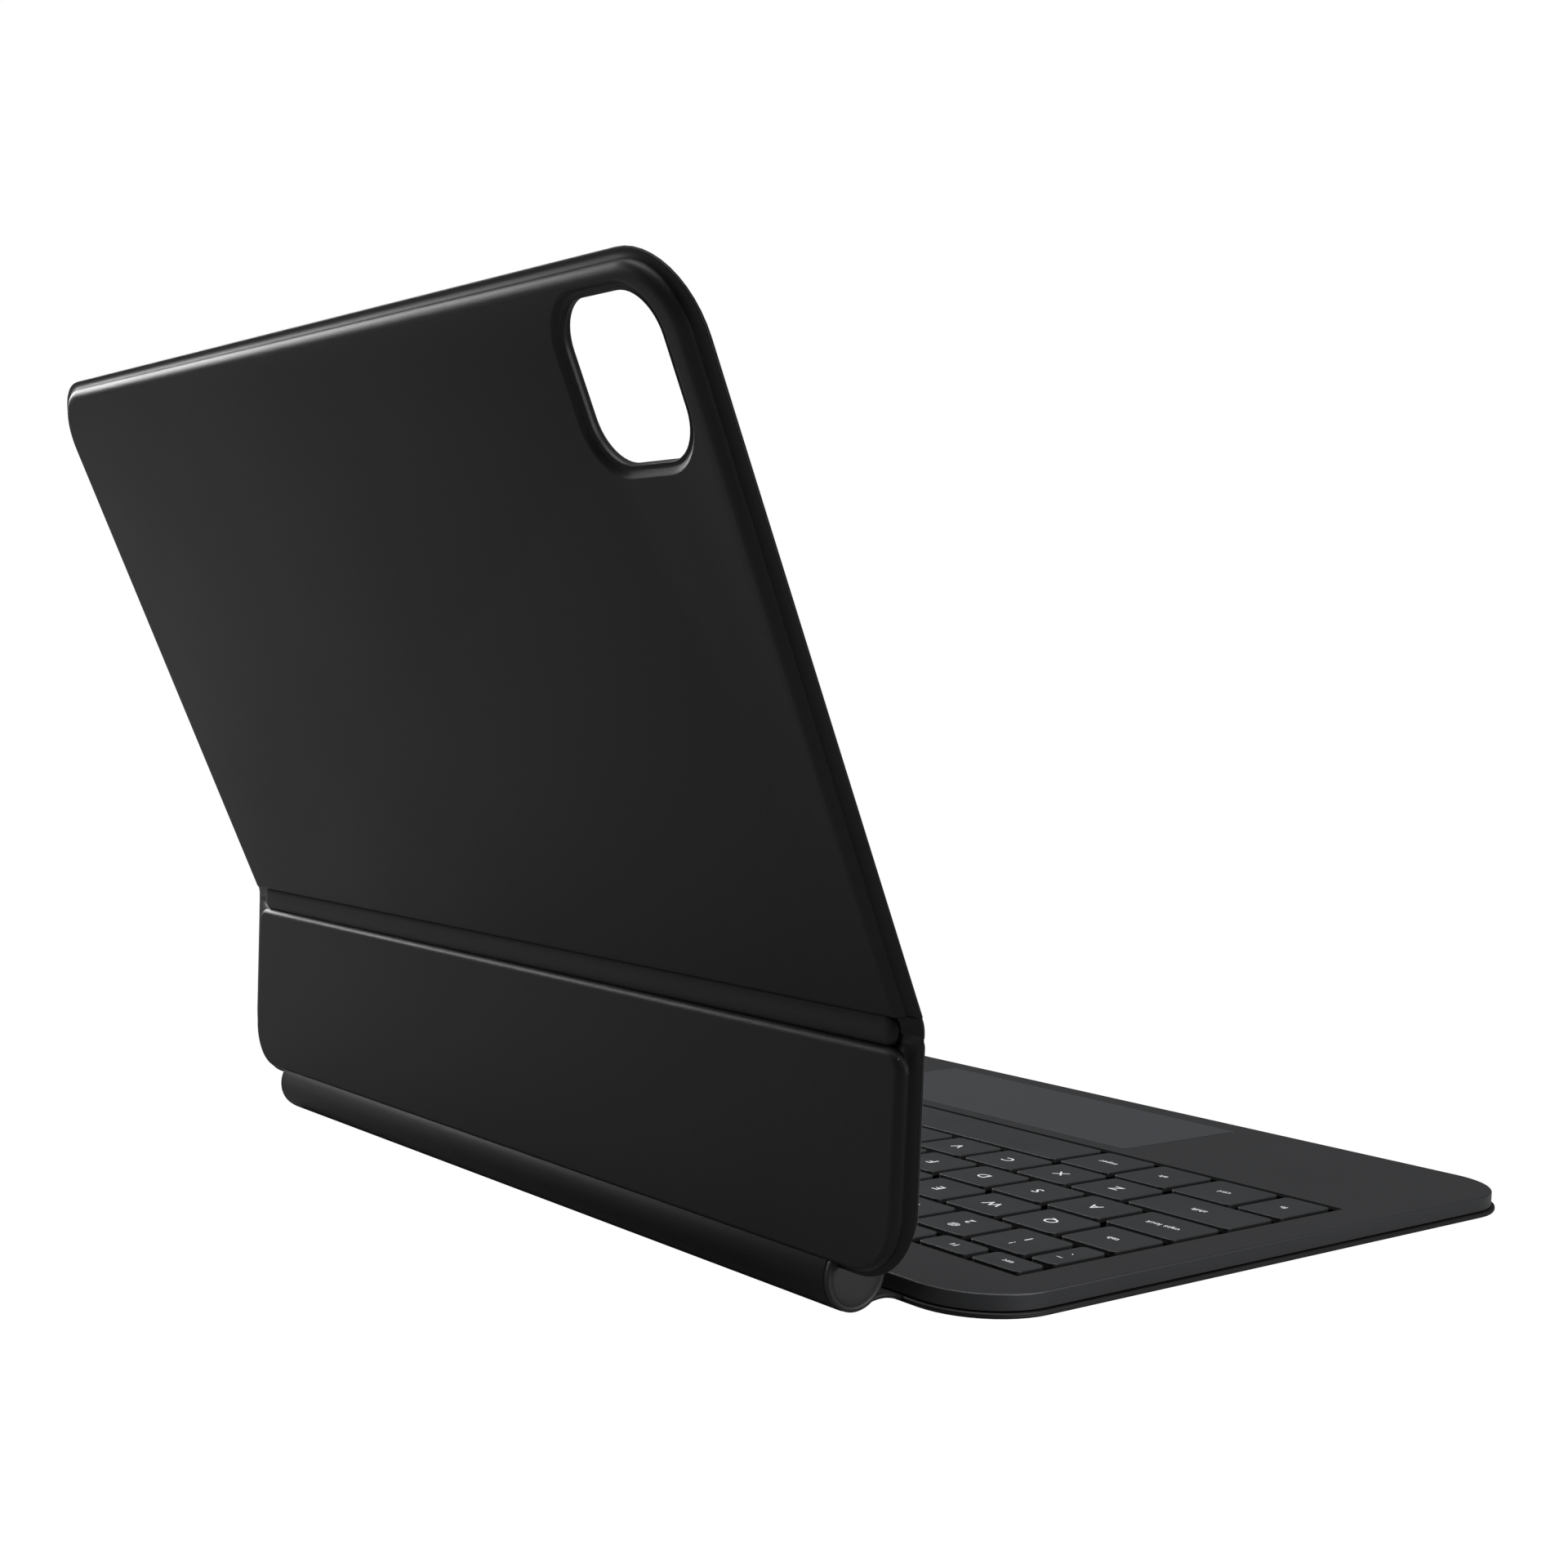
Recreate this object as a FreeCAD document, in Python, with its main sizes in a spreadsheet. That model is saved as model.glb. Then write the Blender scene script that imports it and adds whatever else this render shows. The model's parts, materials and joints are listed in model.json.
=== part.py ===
"""Folding keyboard case for a slim tablet, as a parametric FreeCAD document, in millimetres.

Row frame: +X is the user's right, +Y points away from the user, +Z is up. The origin is the centre
of the keyboard base's footprint, on the desk. The keyboard half lies flat. Behind it a barrel hinge
carries the lower panel, which stands upright, and a slim fold hinge carries the upper panel, which
leans back and holds the tablet by magnets.

Panels are drawn flat, as they lie when the case is closed: local x as above, local y towards the
barrel, local z from the tablet side (low) to the outer skin (high). Their Placement opens them.
"""
import FreeCAD, Part
import os
import re
import Sketcher

SIZES = {
    # keyboard base
    "case_width": 251.0, "base_depth": 168.6, "base_corner": 17.0, "skin_edge": 0.4,
    "base_skin_thick": 1.2, "seam": 0.25, "deck_inset": 0.8, "deck_top": 4.5, "deck_sheet": 0.7,
    "deck_wall": 1.3, "tray_inset": 2.4, "tray_thick": 0.6, "fit_gap": 0.1,
    # keys: a row's cell is the cap and its share of the gap round it
    "key_unit": 16.35, "key_gap": 2.0, "key_field_width": 228.8, "keys_front": -30.7, "well_margin": 0.8,
    "bottom_row": 19.0, "row_pitch": 16.7, "function_row": 9.6, "cap_thick": 1.1,
    "cap_proud": 0.1, "cap_corner": 1.2, "cap_edge": 0.2, "key_travel": 0.9,
    "plate_thick": 0.2, "membrane_thick": 0.15, "membrane_inset": 1.0, "dome_radius": 2.2,
    "dome_tip": 1.2, "function_key": 14.3, "corner_key": 13.4, "control_key": 18.0,
    "shift_key": 28.9, "caps_key": 19.9, "tick_key": 8.2,
    # trackpad
    "pad_width": 100.0, "pad_depth": 40.5, "pad_rear": -35.9, "pad_thick": 1.0,
    "pad_gap": 0.25, "pad_corner": 1.0, "pad_travel": 0.25, "pad_rail": 5.0, "pad_rail_thick": 0.8,
    # barrel hinge
    "barrel_reach": 11.6, "barrel_height": 7.0, "barrel_skin_radius": 6.8, "barrel_radius": 5.9,
    "barrel_length": 212.0, "cap_disc": 1.2, "pin_radius": 2.0, "running_fit": 0.05,
    "barrel_clear": 0.3, "knuckle_gap": 0.3, "inner_knuckle": 20.0, "outer_knuckle": 70.0,
    "arm_width": 20.0, "arm_thick": 0.8, "arm_reach": 9.0, "arm_low": 0.35,
    "leaf_width": 30.0, "leaf_thick": 0.8, "leaf_reach": 22.0,
    "skin_opens": 15.0, "skin_closes": 150.0,
    # panels
    "panel_width": 250.3, "lining_thick": 0.3, "skin_thick": 0.3, "flange": 2.8, "top_flange": 1.7,
    "pad_proud": 1.9, "cover_skin": 0.5, "board_inset": 1.6, "inner_offset": 3.8,
    "lower_open": 90.0, "upper_open": 114.7,
    "lower_bottom": 1.9, "lower_pad_bottom": 4.0, "lower_corner": 14.0, "fold_height": 46.4,
    "fold_level": 5.0, "fold_half_gap": 1.3, "channel_below": 3.9, "channel_above": 1.6,
    "upper_length": 132.75, "upper_corner": 16.0,
    # camera cut-out, measured from the panel's centre line and from the fold
    "window_width": 26.2, "window_height": 27.2, "window_x": -102.5, "window_up": 112.95,
    "window_corner": 8.0, "window_rim": 1.8, "cut_margin": 1.0,
    # fold hinge
    "fold_knuckle": 0.8, "fold_pin": 0.4, "fold_fit": 0.03, "fold_leaf_thick": 0.6,
    "fold_leaf_reach": 12.0, "fold_leaf_width": 30.0, "fold_x": 75.0, "fold_pin_extra": 0.5,
    # magnets and contacts
    "magnet_radius": 4.0, "magnet_thick": 1.2, "magnet_pitch": 32.0, "magnet_low": 25.0,
    "magnet_high": 100.0, "contact_x": 111.0, "contact_up": 44.6, "contact_width": 7.0,
    "contact_length": 18.0, "contact_thick": 1.0, "contact_pitch": 5.0,
    "contact_pin_radius": 1.1, "contact_proud": 0.3, "contact_pin_depth": 0.6,
    # base internals
    "board_width": 180.0, "board_depth": 8.0, "board_thick": 0.8, "board_key_gap": 1.0,
    "chip_size": 6.0, "chip_thick": 0.8, "chip_pitch": 45.0, "screw_radius": 1.1,
    "screw_head": 0.4, "screw_inset": 12.0, "screw_front": 28.1, "screw_pitch": 11.2,
}

doc = FreeCAD.newDocument("TabletKeyboardCase")
sheet = doc.addObject("Spreadsheet::Sheet", "sizes")
for line, (word, value) in enumerate(SIZES.items(), start=1):
    sheet.set(f"A{line}", word)
    sheet.set(f"B{line}", str(value))
    sheet.setAlias(f"B{line}", word)
doc.recompute()

X_AXIS = FreeCAD.Vector(1, 0, 0)
Y_AXIS = FreeCAD.Vector(0, 1, 0)
ALONG_X = FreeCAD.Rotation(Y_AXIS, 90)
nodes = []


def size(text):
    """The number that an expression on the sheet's words stands for."""
    return float(worked_out(text))


def linked(text):
    """The expression with every size's word pointed at the sheet."""
    return re.sub(r"\b([a-z]+(?:_[a-z]+)*)\b", point_at_sheet, str(text))


def point_at_sheet(match):
    word = match.group(1)
    return f"sizes.{word}" if word in SIZES else word


def worked_out(text):
    """Works an expression out through the document, so one rule serves both uses."""
    probe = doc.getObject("probe") or doc.addObject("App::FeaturePython", "probe")
    if "result" not in probe.PropertiesList:
        probe.addProperty("App::PropertyFloat", "result")
    probe.setExpression("result", linked(text))
    probe.recompute()
    return probe.result


def bind(thing, place, text):
    thing.setExpression(place, linked(text))


# ---------------------------------------------------------------------------------- frames
def barrel_y():
    return "(base_depth/2 + barrel_reach)"


def lower_frame(thing):
    """Puts a sub-part of the lower panel at the barrel's axis, opened."""
    thing.Placement = FreeCAD.Placement(FreeCAD.Vector(), FreeCAD.Rotation(X_AXIS, -90))
    bind(thing, "Placement.Base.y", barrel_y())
    bind(thing, "Placement.Base.z", "barrel_height")
    bind(thing, "Placement.Rotation.Angle", "-lower_open * 1 deg")


def upper_frame(thing):
    """Puts a sub-part of the upper panel at the fold's axis, opened."""
    thing.Placement = FreeCAD.Placement(FreeCAD.Vector(), FreeCAD.Rotation(X_AXIS, -90))
    over = "-fold_height*cos(lower_open) + fold_level*sin(lower_open)"
    up = "fold_height*sin(lower_open) + fold_level*cos(lower_open)"
    bind(thing, "Placement.Base.y", f"{barrel_y()} + {over}")
    bind(thing, "Placement.Base.z", f"barrel_height + {up}")
    bind(thing, "Placement.Rotation.Angle", "-upper_open * 1 deg")


def base_frame(thing):
    """The keyboard base is drawn where it lies."""
    thing.Placement = FreeCAD.Placement()


# ---------------------------------------------------------------------------------- helpers
def new_body(label, frame, exported=True):
    body = doc.addObject("PartDesign::Body", label)
    body.Label = label
    frame(body)
    if exported:
        nodes.append(body)
    return body


def slab(body, left, right, front, rear, low, high):
    """A rectangular pad from a sketch on the body's own XY plane."""
    sketch = body.newObject("Sketcher::SketchObject", "outline")
    plane = [f for f in body.Origin.OriginFeatures if f.Role == "XY_Plane"][0]
    sketch.AttachmentSupport = [(plane, "")]
    sketch.MapMode = "FlatFace"
    bind(sketch, "AttachmentOffset.Base.z", low)
    a, b = size(left), size(right)
    c, e = size(front), size(rear)
    corners = [(a, c), (b, c), (b, e), (a, e)]
    points = [FreeCAD.Vector(px, py, 0) for px, py in corners]
    for i in range(4):
        sketch.addGeometry(Part.LineSegment(points[i], points[(i + 1) % 4]))
    for i in range(4):
        sketch.addConstraint(Sketcher.Constraint("Coincident", i, 2, (i + 1) % 4, 1))
    for i, way in enumerate(("Horizontal", "Vertical", "Horizontal", "Vertical")):
        sketch.addConstraint(Sketcher.Constraint(way, i))
    ends = [("DistanceX", 0, left, a), ("DistanceY", 0, front, c),
            ("DistanceX", 2, right, b), ("DistanceY", 2, rear, e)]
    for kind, line, text, value in ends:
        number = sketch.addConstraint(Sketcher.Constraint(kind, -1, 1, line, 1, value))
        sketch.setExpression(f"Constraints[{number}]", linked(text))
    pad = body.newObject("PartDesign::Pad", "pad")
    pad.Profile = sketch
    bind(pad, "Length", f"({high}) - ({low})")
    return pad


def block(body, left, right, front, rear, low, high, cut=False):
    """A box added to the body, or cut from it."""
    kind = "PartDesign::SubtractiveBox" if cut else "PartDesign::AdditiveBox"
    box = body.newObject(kind, "block")
    bind(box, "Length", f"({right}) - ({left})")
    bind(box, "Width", f"({rear}) - ({front})")
    bind(box, "Height", f"({high}) - ({low})")
    bind(box, "Placement.Base.x", left)
    bind(box, "Placement.Base.y", front)
    bind(box, "Placement.Base.z", low)
    return box


def rod(body, radius, left, right, centre_y, centre_z, cut=False):
    """A cylinder along x, added to the body or cut from it."""
    kind = "PartDesign::SubtractiveCylinder" if cut else "PartDesign::AdditiveCylinder"
    cylinder = body.newObject(kind, "rod")
    cylinder.Placement = FreeCAD.Placement(FreeCAD.Vector(), ALONG_X)
    bind(cylinder, "Radius", radius)
    bind(cylinder, "Height", f"({right}) - ({left})")
    bind(cylinder, "Placement.Base.x", left)
    bind(cylinder, "Placement.Base.y", centre_y)
    bind(cylinder, "Placement.Base.z", centre_z)
    return cylinder


def post(body, radius, centre_x, centre_y, low, high, cut=False):
    """A cylinder along z, added to the body or cut from it."""
    kind = "PartDesign::SubtractiveCylinder" if cut else "PartDesign::AdditiveCylinder"
    cylinder = body.newObject(kind, "post")
    bind(cylinder, "Radius", radius)
    bind(cylinder, "Height", f"({high}) - ({low})")
    bind(cylinder, "Placement.Base.x", centre_x)
    bind(cylinder, "Placement.Base.y", centre_y)
    bind(cylinder, "Placement.Base.z", low)
    return cylinder


def upright(edge):
    """True for a straight edge along z."""
    first, last = edge.Vertexes[0].Point, edge.Vertexes[-1].Point
    return abs(first.x - last.x) + abs(first.y - last.y) < 1e-6 < abs(first.z - last.z)


def rounded(body, feature, radius, wanted):
    """Rounds the edges of the feature's shape that wanted() picks."""
    doc.recompute()
    edges = enumerate(feature.Shape.Edges, start=1)
    names = [f"Edge{i}" for i, edge in edges if wanted(edge)]
    fillet = body.newObject("PartDesign::Fillet", "rounding")
    fillet.Base = (feature, names)
    bind(fillet, "Radius", radius)
    return fillet


def near(text, value, slack=0.01):
    return abs(size(text) - value) < slack


def corners_at(left, right, front, rear):
    """Picks upright edges at the corners of a rectangle; a side given as None is left out."""
    def wanted(edge):
        if not upright(edge):
            return False
        point = edge.Vertexes[0].Point
        on_x = any(t is not None and near(t, point.x) for t in (left, right))
        on_y = any(t is not None and near(t, point.y) for t in (front, rear))
        return on_x and on_y
    return wanted


def combine(body, kind, shape, *sizes):
    """Adds to the body, or cuts from it, what shape() draws in a tool body of its own."""
    tool = doc.addObject("PartDesign::Body", "tool")
    shape(tool, *sizes)
    doc.recompute()
    boolean = body.newObject("PartDesign::Boolean", "combined")
    boolean.Type = kind
    boolean.setObjects([tool])


def group(label, members):
    """One node that holds several like pieces, each its own solid in its own place."""
    compound = doc.addObject("Part::Compound", label)
    compound.Label = label
    compound.Links = members
    nodes.append(compound)


# ---------------------------------------------------------------------------------- the base
SKIN_TOP = "base_skin_thick"
TRAY_TOP = "(base_skin_thick + tray_thick)"
PLATE_TOP = "(base_skin_thick + tray_thick + plate_thick)"
DOME_FOOT = "(base_skin_thick + tray_thick + plate_thick + membrane_thick)"
CAP_TOP = "(deck_top + cap_proud)"
CAP_FOOT = "(deck_top + cap_proud - cap_thick)"
KEYS_REAR = "(keys_front + bottom_row + 4*row_pitch + function_row)"
BARREL_END = "(barrel_length/2 - cap_disc)"
ARM_ROOT = "(base_depth/2 + barrel_reach - barrel_radius/2)"
ARM_ROOT_TOP = "(barrel_height - barrel_radius/2)"


def base_outline(body, inset, low, high):
    """The base's rounded rectangle, drawn in by inset."""
    x = f"(case_width/2 - {inset})"
    y = f"(base_depth/2 - {inset})"
    pad = slab(body, f"-{x}", x, f"-{y}", y, low, high)
    wanted = corners_at(f"-{x}", x, f"-{y}", y)
    return rounded(body, pad, f"base_corner - {inset}", wanted)


def make_base_skin():
    body = new_body("base_skin", base_frame)
    shell = base_outline(body, "0", "0", SKIN_TOP)
    doc.recompute()
    rounded(body, shell, "skin_edge", lambda edge: abs(edge.CenterOfMass.z) < 1e-6)
    for left, right in arm_spans():
        block(body, f"{left} - fit_gap", f"{right} + fit_gap",
              "base_depth/2 - arm_reach - fit_gap", "base_depth/2 + fit_gap",
              "arm_low - running_fit", SKIN_TOP, cut=True)


def make_bottom_tray():
    body = new_body("bottom_tray", base_frame)
    base_outline(body, "tray_inset", SKIN_TOP, TRAY_TOP)


def arm_spans():
    """The x range of each hinge arm, one under each fixed knuckle."""
    middle = "((outer_knuckle + barrel_length/2)/2)"
    spans = []
    for centre in (f"-{middle}", "0", middle):
        spans.append((f"({centre} - arm_width/2)", f"({centre} + arm_width/2)"))
    return spans


def make_deck():
    body = new_body("deck", base_frame)
    low = f"({SKIN_TOP} + seam)"
    base_outline(body, "deck_inset", low, "deck_top")
    inner = "(deck_inset + deck_wall)"
    under = "(deck_top - deck_sheet)"
    combine(body, "Cut", base_outline, inner, low, under)
    block(body, "-key_field_width/2 - well_margin", "key_field_width/2 + well_margin",
          "keys_front - well_margin", f"{KEYS_REAR} + well_margin", under, "deck_top", cut=True)
    wide = "(pad_width/2 + pad_gap)"
    block(body, f"-{wide}", wide, "pad_rear - pad_depth - pad_gap", "pad_rear + pad_gap",
          under, "deck_top", cut=True)
    doc.recompute()
    rim = body.Tip
    rounded(body, rim, "skin_edge", outer_top_edge)


def outer_top_edge(edge):
    """The deck's top outer edges, straight sides and corner arcs."""
    middle = edge.CenterOfMass
    if not near("deck_top", middle.z):
        return False
    return max(abs(middle.x) - size("case_width/2 - base_corner/2"),
               abs(middle.y) - size("base_depth/2 - base_corner/2")) > 0


def make_key_supports():
    x = "(key_field_width/2)"
    plate = new_body("key_support_plate", base_frame)
    slab(plate, f"-{x}", x, "keys_front", KEYS_REAR, TRAY_TOP, PLATE_TOP)
    membrane = new_body("key_membrane", base_frame)
    slab(membrane, f"-{x} + membrane_inset", f"{x} - membrane_inset",
         "keys_front + membrane_inset", f"{KEYS_REAR} - membrane_inset", PLATE_TOP, DOME_FOOT)


def make_dome(name, centre_x, centre_y):
    """A rubber dome, drawn pressed flat, so the cap can travel all the way."""
    dome = doc.addObject("Part::Cone", name)
    bind(dome, "Radius1", "dome_radius")
    bind(dome, "Radius2", "dome_tip")
    bind(dome, "Height", f"{CAP_FOOT} - key_travel - fit_gap - {DOME_FOOT}")
    bind(dome, "Placement.Base.x", centre_x)
    bind(dome, "Placement.Base.y", centre_y)
    bind(dome, "Placement.Base.z", DOME_FOOT)
    return dome


LETTER_ROWS = {3: "qwertyuiop", 4: "asdfghjkl", 5: "zxcvbnm"}


def key_rows():
    """Each row: its front and rear, then (kind, width) from the user's left to right.

    A width of None takes what the row has left.
    """
    unit = "key_unit"
    one = [("symbol", unit)]
    rows = [
        ("bottom", [("modifier", "corner_key"), ("modifier", "control_key"),
                    ("modifier", unit), ("modifier", unit), ("key_space", None),
                    ("modifier", unit), ("modifier", unit), ("modifier", unit),
                    ("modifier", unit), ("modifier", unit)]),
        ("shift", [("modifier", "shift_key")] + letters(5) + 3 * one + [("modifier", None)]),
        ("home", [("modifier", "caps_key")] + letters(4) + 2 * one + [("key_return", None)]),
        ("tab", [("modifier", unit)] + letters(3) + 2 * one + [("symbol", None)]),
        ("number", [("symbol", "tick_key")] + 12 * one + [("modifier", None)]),
        ("function", 15 * [("function", "function_key")] + [("function", None)]),
    ]
    return rows


def letters(row):
    return [(f"key_{letter}", "key_unit") for letter in LETTER_ROWS[row]]


def make_cap(name, left, right, front, rear):
    """One key cap: a low tile with rounded corners and a softened top edge."""
    cap = new_body(name, base_frame, exported=name.startswith("key_"))
    half = "key_gap/2"
    tile = block(cap, f"{left} + {half}", f"{right} - {half}", f"{front} + {half}",
                 f"{rear} - {half}", CAP_FOOT, CAP_TOP)
    corners = rounded(cap, tile, "cap_corner", upright)
    rounded(cap, corners, "cap_edge", lambda edge: near(CAP_TOP, edge.CenterOfMass.z))
    return cap


def make_keys():
    grouped = {"function": [], "symbol": [], "modifier": []}
    domes = []
    front = "keys_front"
    for name, keys in key_rows():
        depth = {"bottom": "bottom_row", "function": "function_row"}.get(name, "row_pitch")
        rear = f"({front} + {depth})"
        widths = [width for kind, width in keys if width]
        spare = f"(key_field_width - ({' + '.join(widths)}))"
        left = "(-key_field_width/2)"
        for number, (kind, width) in enumerate(keys, start=1):
            right = f"({left} + {width or spare})"
            own = kind if kind.startswith("key_") else f"cap_{name}_{number}"
            spans = [(front, rear)]
            if name == "bottom" and number == 9:
                spans = [(front, f"({front} + {depth}/2)"), (f"({front} + {depth}/2)", rear)]
            for level, (low, high) in enumerate(spans):
                cap = make_cap(own if level == 0 else f"{own}_up", left, right, low, high)
                if kind in grouped:
                    grouped[kind].append(cap)
                middle_y = f"({low} + {high})/2"
                domes.append(make_dome(f"dome_{own}_{level}", f"({left} + {right})/2", middle_y))
            left = right
        front = rear
    group("function_row_keys", grouped["function"])
    group("number_and_symbol_keys", grouped["symbol"])
    group("modifier_and_arrow_keys", grouped["modifier"])
    group("rubber_domes", domes)


def make_trackpad():
    pad = new_body("trackpad", base_frame)
    x = "(pad_width/2)"
    front = "(pad_rear - pad_depth)"
    glass = slab(pad, f"-{x}", x, front, "pad_rear", "deck_top - pad_thick", "deck_top")
    rounded(pad, glass, "pad_corner", upright)
    frame = new_body("trackpad_frame", base_frame)
    slab(frame, f"-{x}", x, front, "pad_rear", TRAY_TOP, f"{TRAY_TOP} + pad_rail_thick")
    block(frame, f"-{x} + pad_rail", f"{x} - pad_rail", f"{front} + pad_rail",
          "pad_rear - pad_rail", TRAY_TOP, f"{TRAY_TOP} + pad_rail_thick", cut=True)
    switch = new_body("trackpad_switch", base_frame)
    post(switch, "dome_radius", "0", f"({front} + pad_rear)/2", TRAY_TOP,
         "deck_top - pad_thick - pad_travel - fit_gap")


def make_main_board():
    body = new_body("main_board", base_frame)
    front = f"({KEYS_REAR} + board_key_gap)"
    middle = f"({front} + board_depth/2)"
    slab(body, "-board_width/2", "board_width/2", front, f"{front} + board_depth",
         TRAY_TOP, f"{TRAY_TOP} + board_thick")
    for centre in ("-chip_pitch", "0", "chip_pitch"):
        block(body, f"{centre} - chip_size/2", f"{centre} + chip_size/2",
              f"{middle} - chip_size/2", f"{middle} + chip_size/2",
              f"{TRAY_TOP} + board_thick", f"{TRAY_TOP} + board_thick + chip_thick")


def make_case_screws():
    """Small flat-headed screws that hold the steel tray, along the sides of the palm rest."""
    screws = []
    for side in ("-", ""):
        for step in range(3):
            x = f"({side}(case_width/2 - screw_inset))"
            place = f"(-base_depth/2 + screw_front + {step}*screw_pitch)"
            screw = new_body(f"screw_{len(screws)}", base_frame, exported=False)
            post(screw, "screw_radius", x, place, TRAY_TOP, f"{TRAY_TOP} + screw_head")
            screws.append(screw)
    group("case_screws", screws)


# ---------------------------------------------------------------------------------- barrel hinge
def make_barrel():
    """Fixed knuckles with their arms, the pin, the end discs and the skin round them."""
    y, z = barrel_y(), "barrel_height"
    outer_left, outer_right = f"-{BARREL_END}", "-outer_knuckle"
    spans = [(outer_left, outer_right), ("-inner_knuckle", "inner_knuckle"),
             ("outer_knuckle", BARREL_END)]
    fixed = []
    for number, (left, right) in enumerate(spans):
        knuckle = new_body(f"fixed_knuckle_{number}", base_frame, exported=False)
        rod(knuckle, "barrel_radius", left, right, y, z)
        arm_left, arm_right = arm_spans()[number]
        block(knuckle, arm_left, arm_right, "base_depth/2 - arm_reach", y,
              "arm_low", "arm_low + arm_thick")
        block(knuckle, arm_left, arm_right, ARM_ROOT, y, "arm_low", ARM_ROOT_TOP)
        rod(knuckle, "pin_radius + running_fit", left, right, y, z, cut=True)
        fixed.append(knuckle)
    group("hinge_barrel", fixed)
    pin = new_body("hinge_pin", base_frame)
    rod(pin, "pin_radius", f"-{BARREL_END}", BARREL_END, y, z)
    discs = []
    for number, (left, right) in enumerate(((f"-{BARREL_END} - cap_disc", f"-{BARREL_END}"),
                                            (BARREL_END, f"{BARREL_END} + cap_disc"))):
        disc = new_body(f"end_disc_{number}", base_frame, exported=False)
        rod(disc, "barrel_skin_radius", left, right, y, z)
        discs.append(disc)
    group("barrel_end_caps", discs)
    make_barrel_skin(y, z)


def make_barrel_skin(y, z):
    """Skin round the barrel, open above where the lower panel swings, and the web to the base."""
    wrap = doc.addObject("Part::Cylinder", "wrap")
    turn = FreeCAD.Rotation(X_AXIS, size("skin_closes") + 90)
    wrap.Placement = FreeCAD.Placement(FreeCAD.Vector(), turn.multiply(ALONG_X))
    bind(wrap, "Angle", "360 - skin_closes + skin_opens")
    bind(wrap, "Radius", "barrel_skin_radius")
    bind(wrap, "Height", f"2*{BARREL_END}")
    bind(wrap, "Placement.Base.x", f"-{BARREL_END}")
    bind(wrap, "Placement.Base.y", y)
    bind(wrap, "Placement.Base.z", z)
    web = doc.addObject("Part::Box", "web")
    thick = "(barrel_skin_radius - barrel_radius)"
    bind(web, "Length", f"2*{BARREL_END}")
    bind(web, "Width", "barrel_reach")
    bind(web, "Height", thick)
    bind(web, "Placement.Base.x", f"-{BARREL_END}")
    bind(web, "Placement.Base.y", "base_depth/2")
    bind(web, "Placement.Base.z", "barrel_height - barrel_skin_radius")
    joined = doc.addObject("Part::MultiFuse", "wrap_and_web")
    joined.Shapes = [wrap, web]
    room = doc.addObject("Part::Cylinder", "barrel_room")
    room.Placement = FreeCAD.Placement(FreeCAD.Vector(), ALONG_X)
    bind(room, "Radius", "barrel_radius + running_fit")
    bind(room, "Height", "barrel_length")
    bind(room, "Placement.Base.x", "-barrel_length/2")
    bind(room, "Placement.Base.y", y)
    bind(room, "Placement.Base.z", z)
    tools = [room]
    low = "arm_low - running_fit"
    for left, right in arm_spans():
        for front, high in (("base_depth/2", "arm_low + arm_thick + running_fit"),
                            (f"{ARM_ROOT} - running_fit", ARM_ROOT_TOP)):
            slot = doc.addObject("Part::Box", "arm_slot")
            bind(slot, "Length", f"({right}) - ({left}) + 2*fit_gap")
            bind(slot, "Width", f"({y}) - ({front}) + running_fit")
            bind(slot, "Height", f"({high}) - ({low})")
            bind(slot, "Placement.Base.x", f"{left} - fit_gap")
            bind(slot, "Placement.Base.y", front)
            bind(slot, "Placement.Base.z", low)
            tools.append(slot)
    cutters = doc.addObject("Part::MultiFuse", "barrel_cutters")
    cutters.Shapes = tools
    skin = doc.addObject("Part::Cut", "barrel_skin")
    skin.Base = joined
    skin.Tool = cutters
    nodes.append(skin)


# ---------------------------------------------------------------------------------- lower panel
LINING_TOP = "(inner_offset + lining_thick)"
FLANGE_TOP = "(inner_offset + lining_thick + skin_thick)"
PANEL_TOP = "(inner_offset + lining_thick + skin_thick + pad_proud)"
BOARD_TOP = "(inner_offset + lining_thick + skin_thick + pad_proud - cover_skin)"
HALF = "(panel_width/2)"
LOWER_FRONT = "(-fold_height + fold_half_gap)"
LOWER_PAD_FRONT = "(-fold_height + channel_below)"


def lower_outline(body, low, high):
    pad = slab(body, f"-{HALF}", HALF, LOWER_FRONT, "-lower_bottom", low, high)
    return rounded(body, pad, "lower_corner", corners_at(f"-{HALF}", HALF, None, "-lower_bottom"))


def lower_field(body, inset, low, high):
    """Fills the lower panel's raised field, drawn in by inset, with the panel's own corners."""
    x = f"({HALF} - flange - {inset})"
    rear = f"(-lower_pad_bottom - {inset})"
    field = block(body, f"-{x}", x, f"{LOWER_PAD_FRONT} + {inset}", rear, low, high)
    rounded(body, field, f"lower_corner - flange - {inset}", corners_at(f"-{x}", x, None, rear))


def barrel_room_cut(body):
    """Clears the barrel, whose axis is this panel's own, so it clears at every angle."""
    reach = "(barrel_length/2 + barrel_clear + key_gap)"
    rod(body, "barrel_skin_radius + barrel_clear", f"-{reach}", reach, "0", "0", cut=True)


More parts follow.
